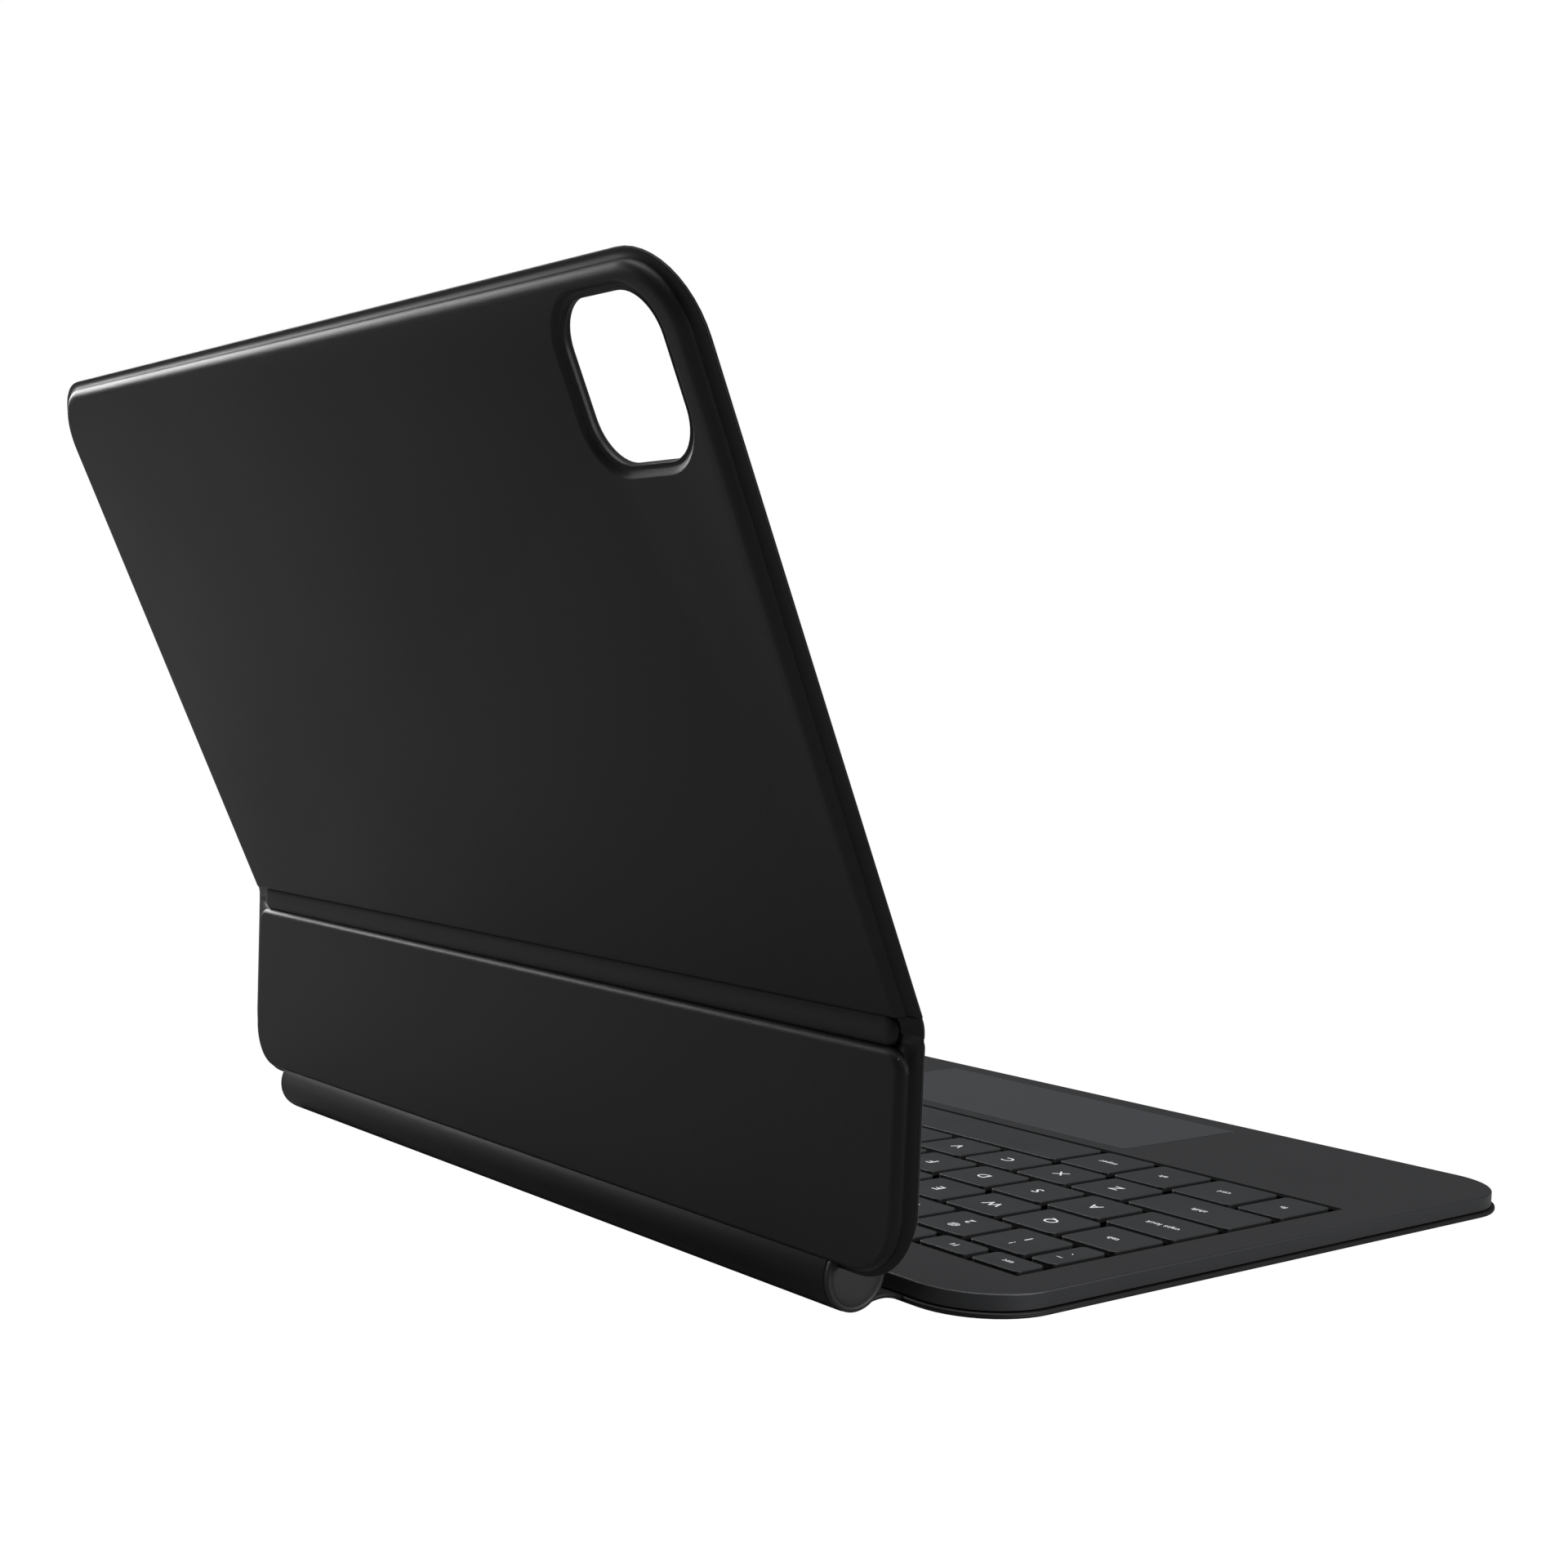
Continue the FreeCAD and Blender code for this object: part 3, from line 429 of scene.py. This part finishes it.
def ring_edges(mesh, row):
    """The edges that join a loop's points, and its last point to its first."""
    return [mesh.edges.get((a, b)) for a, b in zip(row, row[1:] + row[:1])]


def stacked(stacks, place):
    """A closed skin: every stack runs from the underside to the face, the first one outermost."""
    mesh = bmesh.new()
    ends = []
    for stack in stacks:
        levels = [[mesh.verts.new(place(x, y, level)) for x, y in loop] for loop, level in stack]
        for low, high in zip(levels, levels[1:]):
            for i in range(len(low)):
                j = (i + 1) % len(low)
                mesh.faces.new((low[i], low[j], high[j], high[i]))
        ends.append((levels[0], levels[-1]))
    for side in (0, 1):
        edges = [edge for pair in ends for edge in ring_edges(mesh, pair[side])]
        bmesh.ops.triangle_fill(mesh, edges=edges, use_beauty=True)
    return mesh


def soft_step(width, height, steps=8):
    """The rounded shoulder of a wrapped board, as (inset, rise) pairs from its foot."""
    quarter = [math.pi / 2 * step / steps for step in range(steps + 1)]
    return [(width * (1 - math.cos(turn)), height * math.sin(turn)) for turn in quarter]


print("a loop has", len(rounded_loop(-1, 1, -1, 1, 0.1, 0.2)), "points")


# %% [markdown]
# ## The upper cover
# Its skin is pressed thin round the rim, then steps up softly over the stiff board. The camera
# window has a shallow dished border, a fine lip and straight dark walls. The whole cover is one
# closed skin, drawn flat and set leaning.

# %% The upper cover and its camera window
FLANGE = 4.42 * MM
SIDE_RIM = 2.8 * MM
TOP_RIM = 1.7 * MM
STEP_WIDTH = 2.2 * MM
STEP_END = STEP_WIDTH + 0.25 * MM  # a last loop here keeps the face's shading flat
UPPER_CORNER = 16.0 * MM
FOLD_CORNER = 0.5 * MM
UPPER_FOOT, UPPER_FOOT_SLOPE = 0.3 * MM, 0.35  # the step above the fold is steep
# (distance in from the edge, level) from the underside, round the edge, to the flange
EDGE = [(1.4, 4.12), (0.15, 4.12), (0.02, 4.20), (0.0, 4.28), (0.04, 4.36), (0.16, 4.41),
        (0.5, 4.42)]
WINDOW_X, WINDOW_UP = -102.5 * MM, 112.95 * MM
WINDOW_HALF_WIDTH, WINDOW_HALF_HEIGHT, WINDOW_CORNER = 13.1 * MM, 13.6 * MM, 8.0 * MM


def upper_loop(side, top, bottom, corner):
    """A loop drawn in from the panel's sides, top and fold by these distances."""
    return rounded_loop(-HALF + side, HALF - side, FOLD_TO_EDGE + bottom, UPPER_TOP - top,
                        FOLD_CORNER, corner)


def window_loop(grow):
    """A loop round the camera window, larger than its opening by grow."""
    half_x, half_up = WINDOW_HALF_WIDTH, WINDOW_HALF_HEIGHT
    return rounded_loop(WINDOW_X - half_x - grow, WINDOW_X + half_x + grow,
                        WINDOW_UP - half_up - grow, WINDOW_UP + half_up + grow,
                        WINDOW_CORNER + grow, WINDOW_CORNER + grow)


def upper_rim():
    stack = []
    for inset, level in EDGE:
        inset, level = inset * MM, level * MM
        stack.append((upper_loop(inset, inset, inset, UPPER_CORNER - inset), level))
    for inset, rise in soft_step(STEP_WIDTH, FACE - FLANGE):
        corner = UPPER_CORNER - SIDE_RIM - inset
        low = UPPER_FOOT + inset * UPPER_FOOT_SLOPE
        stack.append((upper_loop(SIDE_RIM + inset, TOP_RIM + inset, low, corner), FLANGE + rise))
    stack.append((upper_loop(SIDE_RIM + STEP_END, TOP_RIM + STEP_END, 1.6 * MM,
                             UPPER_CORNER - SIDE_RIM - STEP_END), FACE))
    return stack


# (distance out from the opening, level) from the underside, up the wall, over the lip and dish
WINDOW_EDGE = [(1.0, 4.12), (0.0, 4.12), (0.0, 4.9), (0.02, 5.30), (0.10, 5.42), (0.24, 5.45),
               (0.38, 5.40), (0.50, 5.31), (0.70, 5.30), (1.00, 5.42), (1.30, 5.68), (1.60, 5.98),
               (1.85, 6.19), (2.05, 6.29), (2.12, 6.30)]


def window_border():
    return [(window_loop(grow * MM), level * MM) for grow, level in WINDOW_EDGE]


upper_cover = finished("upper_cover", stacked([upper_rim(), window_border()], on_upper),
                       skin_finish, "upper_panel")
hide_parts("upper_outer_skin")


# %% [markdown]
# ## The lower cover
# The same soft step, on a narrow upright board. Its two lower corners are well rounded, and its
# lower edge tucks against the skin of the barrel, which leaves a fine dark line.

# %% The lower cover
LOWER_CORNER = 14.0 * MM
LOWER_PAD_CORNER = 4.5 * MM
# how far the pad stops short of the panel's lower edge and of its top
PAD_BOTTOM = 2.75 * MM - LOWER_BOTTOM
PAD_TOP = LOWER_TOP - 42.5 * MM


def lower_loop(side, bottom, top, corner, fold_corner=FOLD_CORNER):
    """A loop drawn in from the panel's sides, lower edge and top by these distances."""
    return rounded_loop(-HALF + side, HALF - side, LOWER_BOTTOM + bottom, LOWER_TOP - top,
                        corner, fold_corner)


def lower_pad_loop(inset):
    """A loop of the pad; its step is steeper at the lower edge and the top than at the sides."""
    return lower_loop(SIDE_RIM + inset, PAD_BOTTOM + inset * 0.5, PAD_TOP + inset * 0.7,
                      LOWER_CORNER - SIDE_RIM - inset, LOWER_PAD_CORNER - inset)


def lower_rim():
    stack = []
    for inset, level in EDGE:
        inset, level = inset * MM, level * MM
        stack.append((lower_loop(inset, inset, inset, LOWER_CORNER - inset), level))
    for inset, rise in soft_step(STEP_WIDTH, FACE - FLANGE):
        stack.append((lower_pad_loop(inset), FLANGE + rise))
    stack.append((lower_pad_loop(STEP_END), FACE))
    return stack


lower_cover = finished("lower_cover", stacked([lower_rim()], on_lower),
                       skin_finish, "lower_panel")
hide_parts("lower_outer_skin")


# %% [markdown]
# ## The linings
# Inside, each board has a flat microfibre lining with a rounded cut edge. The upper one is cut
# out for the camera and for the small block of sprung contacts.

# %% Linings of both panels
# (distance in from the edge, level) from the board's side, round the edge, to the tablet's side
LINING_EDGE = [(1.4, 4.08), (0.12, 4.08), (0.02, 4.02), (0.0, 3.95), (0.05, 3.86), (0.2, 3.80),
               (1.2, 3.80)]
WINDOW_LINING = [(1.0, 4.08), (0.1, 4.08), (0.0, 3.98), (0.05, 3.84), (0.25, 3.80), (0.9, 3.80)]
CONTACT_LINING = [(0.0, 4.08), (0.0, 3.9), (0.06, 3.80), (0.5, 3.80)]
CONTACT_GAP = 0.1 * MM
CONTACT_HALF_LENGTH = 9.0 * MM
CONTACT_CORNER = 0.3 * MM


def contact_loop(grow):
    """A loop round the contact block, which lies in the leaning panel."""
    low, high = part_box("contact_block")
    middle = (low + high) / 2
    up = (middle.z - fold_z) * math.cos(LEAN) + (middle.y - fold_y) * math.sin(LEAN)
    grow += CONTACT_GAP
    return rounded_loop(low.x - grow, high.x + grow, up - CONTACT_HALF_LENGTH - grow,
                        up + CONTACT_HALF_LENGTH + grow, CONTACT_CORNER, CONTACT_CORNER)


def upper_lining_stack():
    return [(upper_loop(inset * MM, inset * MM, inset * MM, UPPER_CORNER - inset * MM), level * MM)
            for inset, level in LINING_EDGE]


window_cut = [(window_loop(grow * MM), level * MM) for grow, level in WINDOW_LINING]
contact_cut = [(contact_loop(grow * MM), level * MM) for grow, level in CONTACT_LINING]
upper_lining = finished("upper_lining",
                        stacked([upper_lining_stack(), window_cut, contact_cut], on_upper),
                        lining_finish, "upper_panel")
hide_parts("upper_inner_skin")

LINING_BOTTOM = 6.3 * MM  # the lower lining stops clear of the barrel
LINING_LOW_CORNER, LINING_HIGH_CORNER = 9.0 * MM, 2.0 * MM
lower_stack = [(rounded_loop(-HALF + inset * MM, HALF - inset * MM, LINING_BOTTOM + inset * MM,
                             LOWER_TOP - inset * MM, LINING_LOW_CORNER - inset * MM,
                             LINING_HIGH_CORNER), level * MM)
               for inset, level in LINING_EDGE]
lower_lining = finished("lower_lining", stacked([lower_stack], on_lower),
                        lining_finish, "lower_panel")
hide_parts("lower_inner_skin")


# %% [markdown]
# ## The fold
# Between the panels the skin is bare: a thin web from rim to rim, with a softly filled strip over
# the slim hinge so that it closes flush. It is drawn across the fold and left on no body.

# %% Skin, filled strip and lining across the fold
WEB_REACH = 1.7 * MM
WEB_STEPS = 10
BEND_FROM = on_fold(0.0, -WEB_REACH, FOLD_LEVEL)
BEND_TO = on_fold(0.0, WEB_REACH, FOLD_LEVEL)
STRIP_HALF = 119.6 * MM
STRIP_LOW = LOWER_TOP - PAD_TOP + barrel_z - fold_z - 0.25 * MM
STRIP_HIGH = 1.58 * MM
STRIP_FOOT, STRIP_RISE = 4.45, 1.50  # level of its edge, and how far its crown stands above
STRIP_CROWN = 2.7 * MM  # width of the curve from its edge to its crown
STRIP_STEPS = 10


def fold_web(name, low, high, half, material):
    """A thin band from panel to panel, with as many steps as its bend needs."""
    mesh = bmesh.new()
    ups = [-WEB_REACH + 2 * WEB_REACH * step / WEB_STEPS for step in range(WEB_STEPS + 1)]
    outline = [(up, low) for up in ups] + [(up, high) for up in reversed(ups)]
    ends = []
    for across in (-half, -half / 3, half / 3, half):
        ends.append([mesh.verts.new(on_fold(across, up, level)) for up, level in outline])
    for first, second in zip(ends, ends[1:]):
        for i in range(len(outline)):
            j = (i + 1) % len(outline)
            mesh.faces.new((first[i], first[j], second[j], second[i]))
    for row in (ends[0], ends[-1]):
        for i in range(WEB_STEPS):
            last = len(outline) - 1
            mesh.faces.new((row[i], row[i + 1], row[last - i - 1], row[last - i]))
    piece = finished(name, mesh, material, None)
    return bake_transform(piece)


def fold_strip():
    """The filled strip: rings that rise to a low crown, with round ends."""
    def strip_loop(inset, radius):
        return rounded_loop(-STRIP_HALF + inset, STRIP_HALF - inset, STRIP_LOW + inset,
                            STRIP_HIGH - inset, radius, radius)

    stack = [(strip_loop(0.6 * MM, 1.6 * MM), 4.30 * MM)]
    for step in range(STRIP_STEPS + 1):
        turn = math.pi / 2 * step / STRIP_STEPS
        inset = STRIP_CROWN * (1 - math.cos(turn))
        level = (STRIP_FOOT + STRIP_RISE * math.sin(turn) ** 0.7) * MM
        stack.append((strip_loop(inset, max(2.6 * MM - inset * 0.9, 0.1 * MM)), level))
    piece = finished("fold_strip", stacked([stack], on_fold), skin_finish, None)
    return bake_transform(piece)


fold_web("fold_skin", 4.16 * MM, 4.40 * MM, HALF - 0.05 * MM, skin_finish)
fold_web("fold_lining", 3.82 * MM, 4.06 * MM, HALF - 0.3 * MM, lining_finish)
fold_strip()


# %% [markdown]
# ## The barrel
# The hinge is a steel barrel wrapped in the same skin, closed at each end by a moulded cap with
# a fine turned ring. Because the barrel is round about the very axis that the panel turns on,
# its skin can stay with the base and still meet the panel at every angle. A flexible web joins
# it to the keyboard.

# %% Barrel skin, web and end caps
BARREL_RADIUS = 6.8 * MM
ROUND_POINTS = 72
CAP_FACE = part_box("barrel_end_caps")[1].x
CAP_THICK = 1.2 * MM


def turned(profile):
    """A solid turned about the barrel's axis, from (across, radius) pairs."""
    mesh = bmesh.new()
    rows = []
    for across, radius in profile:
        row = []
        for i in range(ROUND_POINTS):
            turn = 2 * math.pi * i / ROUND_POINTS
            row.append(mesh.verts.new((across, barrel_y + radius * math.cos(turn),
                                       barrel_z + radius * math.sin(turn))))
        rows.append(row)
    for low, high in zip(rows, rows[1:]):
        for i in range(ROUND_POINTS):
            j = (i + 1) % ROUND_POINTS
            mesh.faces.new((low[i], low[j], high[j], high[i]))
    mesh.faces.new(rows[0])
    mesh.faces.new(rows[-1])
    return mesh


wrap_end = CAP_FACE - CAP_THICK
wrap_profile = [(-wrap_end, BARREL_RADIUS - 0.25 * MM),
                (-wrap_end + 0.05 * MM, BARREL_RADIUS - 0.08 * MM),
                (-wrap_end + 0.25 * MM, BARREL_RADIUS), (0.0, BARREL_RADIUS)]
wrap_profile += [(-across, radius) for across, radius in reversed(wrap_profile[:-1])]
barrel_wrap = finished("barrel_wrap", turned(wrap_profile), skin_finish, "keyboard_base")
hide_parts("barrel_skin")

# (distance in from the cap's face, share of the barrel's radius); the ring is the dip by 0.85
CAP_RINGS = [(1.20, 0.90), (1.18, 0.975), (0.9, 0.985), (0.30, 0.985), (0.12, 0.97), (0.02, 0.94),
             (0.0, 0.90), (0.0, 0.865), (0.06, 0.855), (0.16, 0.85), (0.16, 0.825), (0.06, 0.815),
             (0.03, 0.80), (0.03, 0.60), (0.05, 0.30), (0.06, 0.05)]
for side, name in ((-1, "end_cap_left"), (1, "end_cap_right")):
    profile = [(side * (CAP_FACE - depth * MM), BARREL_RADIUS * share)
               for depth, share in CAP_RINGS]
    cap = finished(name, turned(profile), cap_finish, "keyboard_base")
    if side < 0:
        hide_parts("barrel_end_caps")


def cubic(points, share):
    """A point on the curve that four control points steer."""
    rest = 1 - share
    weights = [rest ** 3, 3 * share * rest ** 2, 3 * share ** 2 * rest, share ** 3]
    return [sum(w * p[axis] for w, p in zip(weights, points)) for axis in (0, 1)]


HINGE_WEB_THICK = 1.05 * MM
HINGE_WEB_STEPS = 12
HINGE_WEB_HALF = wrap_end + 0.6 * MM
HINGE_WEB_FLOOR = 0.2 * MM
# (distance in from the end, how far the web lifts, share of its thickness)
HINGE_WEB_ENDS = [(0.0, 1.7, 0.4), (0.2, 1.7, 0.8), (0.6, 1.7, 1.0), (3.0, 1.3, 1.0),
                  (6.0, 0.3, 1.0)]


def hinge_web():
    """The web under the gap: it leaves the barrel, lifts a little and meets the base."""
    base_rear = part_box("base_skin")[1].y
    steps, thick, floor = HINGE_WEB_STEPS, HINGE_WEB_THICK, HINGE_WEB_FLOOR
    mesh = bmesh.new()
    rows = []
    spans = [(-HINGE_WEB_HALF + inset * MM, lift * MM, share)
             for inset, lift, share in HINGE_WEB_ENDS]
    spans += [(-across, lift, share) for across, lift, share in reversed(spans)]
    for across, lift, share in spans:
        steer = [(barrel_y - 1.2 * MM, 0.26 * MM), (barrel_y - 5.5 * MM, floor + lift),
                 (base_rear + 3.5 * MM, floor + lift), (base_rear - 0.5 * MM, floor)]
        lower = [cubic(steer, step / steps) for step in range(steps + 1)]
        slim = thick * (1 - share) / 2
        row = [(y, z + slim) for y, z in lower]
        row += [(y, z + thick - slim) for y, z in reversed(lower)]
        rows.append([mesh.verts.new((across, y, z)) for y, z in row])
    count = 2 * (steps + 1)
    for first, second in zip(rows, rows[1:]):
        for i in range(count):
            j = (i + 1) % count
            mesh.faces.new((first[i], first[j], second[j], second[i]))
    for row in (rows[0], rows[-1]):
        for i in range(steps):
            mesh.faces.new((row[i], row[i + 1], row[count - 2 - i], row[count - 1 - i]))
    return finished("hinge_web", mesh, skin_finish, "keyboard_base")


hinge_web()


# %% [markdown]
# ## The base's skin
# Under the keyboard the skin is flat, turns up at the rim and ends in a rolled edge, with a dark
# seam between it and the metal deck.

# %% Skin under the keyboard
BASE_CORNER = 17.0 * MM
base_low, base_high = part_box("base_skin")
# (inset, height) from the underside, round the rolled edge and its fine groove, to the top
BASE_EDGE = [(6.0, 0.0), (1.3, 0.0), (0.6, 0.05), (0.2, 0.22), (0.03, 0.48), (0.0, 0.62),
             (0.06, 0.70), (0.06, 0.76), (0.0, 0.84), (0.03, 1.02), (0.16, 1.15), (0.36, 1.20),
             (0.60, 1.17), (1.2, 1.12), (6.0, 1.12)]
base_stack = [(rounded_loop(base_low.x + inset * MM, base_high.x - inset * MM,
                            base_low.y + inset * MM, base_high.y - inset * MM,
                            BASE_CORNER - inset * MM, BASE_CORNER - inset * MM), level * MM)
              for inset, level in BASE_EDGE]
base_cover = finished("base_cover", stacked([base_stack], on_base), skin_finish,
                      "keyboard_base")
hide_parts("base_skin")


# %% [markdown]
# ## Legends
# Letters and plain words are printed on the caps. They are text curves made into thin meshes,
# sunk a little into the cap so that they sit like ink. Each rides on its own cap. A grouped row
# is one mesh of many caps, so we first find where its caps are.

# %% Find the caps, and print on them
INK = 0.02 * MM


def islands(node):
    """(left, right, front, rear, top) of each separate cap in a node, in rows from the user."""
    mesh = bmesh.new()
    mesh.from_mesh(frame["nodes"][node].data)
    bmesh.ops.remove_doubles(mesh, verts=mesh.verts, dist=0.001 * MM)
    left_over = set(mesh.verts)
    caps = []
    while left_over:
        group = {left_over.pop()}
        edge_of = list(group)
        while edge_of:
            vert = edge_of.pop()
            for edge in vert.link_edges:
                other = edge.other_vert(vert)
                if other in left_over:
                    left_over.discard(other)
                    group.add(other)
                    edge_of.append(other)
        places = [vert.co for vert in group]
        caps.append((min(p.x for p in places), max(p.x for p in places), min(p.y for p in places),
                     max(p.y for p in places), max(p.z for p in places)))
    mesh.free()
    return sorted(caps, key=lambda cap: (round(cap[2] / MM), cap[0]))


def printed(text, height, across, back, top):
    """Thin raised lettering whose middle is at the place given."""
    curve = bpy.data.curves.new("legend", "FONT")
    curve.body = text
    curve.size = height
    curve.align_x = "CENTER"
    curve.align_y = "CENTER"
    curve.extrude = INK
    curve.resolution_u = 3
    holder = bpy.data.objects.new("legend", curve)
    mesh = bpy.data.meshes.new_from_object(holder)
    mesh.transform(Matrix.Translation((across, back, top)))
    bpy.data.objects.remove(holder)
    return mesh


def legend_piece(name, texts, body):
    """Joins several printed texts into one piece that rides on a body."""
    mesh = bmesh.new()
    for item in texts:
        mesh.from_mesh(printed(*item))
    bmesh.ops.remove_doubles(mesh, verts=mesh.verts, dist=0.0005 * MM)
    data = bpy.data.meshes.new(f"legend_{name}")
    mesh.to_mesh(data)
    mesh.free()
    data.materials.clear()
    data.materials.append(ink_finish)
    piece = bpy.data.objects.new(f"legend_{name}", data)
    bpy.context.scene.collection.objects.link(piece)
    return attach(piece, body)


LETTER = 4.2 * MM
WORD = 2.3 * MM
for node in single_keys:
    word = node.removeprefix("key_")
    if word == "space":
        continue
    low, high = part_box(node)
    middle = (low + high) / 2
    label, height = (word.upper(), LETTER) if len(word) == 1 else (word, WORD)
    legend_piece(word, [(label, height, middle.x, middle.y, high.z)], "cap_" + word)
print("printed", len(single_keys) - 1, "single caps")

# each row's marks, from the user's side to the back and from left to right
SYMBOLS = [[("<", ","), (">", "."), ("?", "/")], [(":", ";"), ('"', "'")],
           [("{", "["), ("}", "]"), ("|", "\\")],
           [("~", "`"), ("!", "1"), ("@", "2"), ("#", "3"), ("$", "4"), ("%", "5"), ("^", "6"),
            ("&", "7"), ("*", "8"), ("(", "9"), (")", "0"), ("_", "-"), ("+", "=")]]
WORDS = [["fn", "ctrl", "alt", "super", "super", "alt", "ctrl", "<", "v", ">", "^"],
         ["shift", "shift"], ["caps lock"], ["tab"], ["delete"]]
FUNCTIONS = [["esc"] + [f"F{number}" for number in range(1, 13)] + ["home", "end", "lock"]]


# %% [markdown]
# ## Legends on the grouped rows
# These caps share a node, so nothing names them one by one. Their places do: a cap that starts
# much further back than the first one of its row begins the next row.

# %% Split a node's caps into rows, and print on them
MARK_UP, MARK_DOWN = 2.6 * MM, 2.0 * MM


def in_rows(node, pitch):
    """The node's caps in rows; a cap that starts more than pitch further back begins a row."""
    rows = []
    for cap in islands(node):
        if not rows or cap[2] - rows[-1][0][2] > pitch:
            rows.append([])
        rows[-1].append(cap)
    return [sorted(row, key=lambda cap: (cap[0], cap[2])) for row in rows]


def middle_of(cap):
    return (cap[0] + cap[1]) / 2, (cap[2] + cap[3]) / 2


symbol_texts = []
for row, marks in zip(in_rows("number_and_symbol_keys", 8.0 * MM), SYMBOLS):
    for cap, (upper, lower) in zip(row, marks):
        x, y = middle_of(cap)
        symbol_texts.append((upper, 0.62 * LETTER, x, y + MARK_UP, cap[4]))
        symbol_texts.append((lower, 0.80 * LETTER, x, y - MARK_DOWN, cap[4]))
legend_piece("symbols", symbol_texts, "number_and_symbol_caps")

word_texts = []
for row, marks in zip(in_rows("modifier_and_arrow_keys", 12.0 * MM), WORDS):
    for cap, word in zip(row, marks):
        x, y = middle_of(cap)
        word_texts.append((word, WORD, x, y, cap[4]))
legend_piece("modifiers", word_texts, "modifier_and_arrow_caps")

function_texts = []
for row, marks in zip(in_rows("function_row_keys", 8.0 * MM), FUNCTIONS):
    for cap, word in zip(row, marks):
        x, y = middle_of(cap)
        function_texts.append((word, 0.9 * WORD, x, y, cap[4]))
legend_piece("functions", function_texts, "function_row_caps")
print("printed", len(symbol_texts), "marks,", len(word_texts), "words,",
      len(function_texts), "functions")


# %% [markdown]
# ## Floor and light
# A pale floor, one wide soft light above, one at each side and a weak one behind. The skins are
# nearly black, so what we see is mostly the shape of the lights in their soft edges. The light
# on the user's right lies low, and draws the bright line along the panel's top step.

# %% Studio
FLOOR_GLOW = 0.96  # share of the floor that the camera sees as its own light
FLOOR_RADIUS = 6.0
# name, place, the point it looks at, width and height in metres, watts
SOFT_BOXES = [
    ("soft_box_above", (-0.1, 0.25, 1.2), (0.0, 0.05, 0.05), 1.6, 0.7, 16.0),
    ("soft_box_left", (-1.3, -0.3, 0.5), (0.0, 0.0, 0.02), 0.8, 0.8, 13.0),
    ("soft_box_right", (1.2, 0.22, 0.58), (0.0, 0.12, 0.12), 0.7, 0.5, 13.0),
    ("soft_box_behind", (0.9, 1.1, 0.45), (0.0, 0.1, 0.08), 0.6, 0.4, 0.8),
]
ROOM_LIGHT, ROOM_SEEN = 0.10, 1.0  # how bright the room is on the case, and to the camera


def floor_finish():
    """Pale and plain; its own light keeps it pale to the camera, and the case never sees it."""
    finish = Finish("pale_floor")
    paint = finish.blend(finish.noise(3.0), (0.24, 0.24, 0.24), (0.26, 0.26, 0.26))
    finish.surface(Roughness=0.9, Specular_IOR_Level=0.1, Base_Color=paint)
    seen = finish.add("LightPath", out=0)
    glow = finish.add("Emission", {}, {"Color": (1, 1, 1, 1), "Strength": 1.05})
    plain = Value(finish, finish.shader.outputs[0])
    mixed = finish.add("MixShader", {}, {0: seen * FLOOR_GLOW, 1: plain, 2: glow})
    finish.fill(finish.tree.nodes["Material Output"], {"Surface": mixed})
    return finish.material


def studio_floor():
    mesh = bmesh.new()
    bmesh.ops.create_circle(mesh, cap_ends=True, segments=64, radius=FLOOR_RADIUS)
    data = bpy.data.meshes.new("floor")
    mesh.to_mesh(data)
    mesh.free()
    data.materials.append(floor_finish())
    floor = bpy.data.objects.new("floor", data)
    bpy.context.scene.collection.objects.link(floor)


def soft_light(name, place, aim, width, height, power):
    """A rectangular soft box that looks at a point."""
    data = bpy.data.lights.new(name, "AREA")
    data.shape = "RECTANGLE"
    data.size = width
    data.size_y = height
    data.energy = power
    lamp = bpy.data.objects.new(name, data)
    lamp.location = place
    lamp.rotation_euler = (Vector(aim) - Vector(place)).to_track_quat("-Z", "Y").to_euler()
    bpy.context.scene.collection.objects.link(lamp)


studio_floor()
for box in SOFT_BOXES:
    soft_light(*box)

room = Finish("studio", bpy.data.worlds, "Background")
seen = room.add("LightPath", out=0)
strength = room.add("Mix", {"data_type": "FLOAT"}, {0: seen, 2: ROOM_LIGHT, 3: ROOM_SEEN})
bpy.context.scene.world = room.surface(Color=(1, 1, 1, 1), Strength=strength)
bpy.context.scene.view_settings.view_transform = "Standard"
print("studio with", len(SOFT_BOXES), "soft boxes")


# %% [markdown]
# ## Camera
# A camera looks along its own -Z. We build its three axes from a heading, a downward pitch and a
# small roll, which is easier to reason about than Euler angles. The small shifts slide the
# picture in its frame without turning the camera.

# %% Camera
HEADING = math.radians(50.45)
PITCH = math.radians(3.25)
ROLL = math.radians(2.08)
STAND_AT = (-0.37877, 0.33829, 0.10680)  # low behind the case, on the user's left
lens = bpy.data.cameras.new("camera")
lens.lens = 48.54
lens.sensor_width = 36.0
lens.shift_x = -0.0090
lens.shift_y = 0.0236
lens.clip_start = 0.01
camera = bpy.data.objects.new("camera", lens)
view = Vector((math.sin(HEADING) * math.cos(PITCH), -math.cos(HEADING) * math.cos(PITCH),
               -math.sin(PITCH)))
right = view.cross(Vector((0, 0, 1))).normalized()
up = right.cross(view)
tilted_up = up * math.cos(ROLL) - right * math.sin(ROLL)
tilted_right = right * math.cos(ROLL) + up * math.sin(ROLL)
stand = Matrix((tilted_right, tilted_up, -view)).transposed().to_4x4()
camera.matrix_world = Matrix.Translation(STAND_AT) @ stand
bpy.context.scene.collection.objects.link(camera)
bpy.context.scene.camera = camera
print("camera at", [round(v, 3) for v in camera.matrix_world.translation])
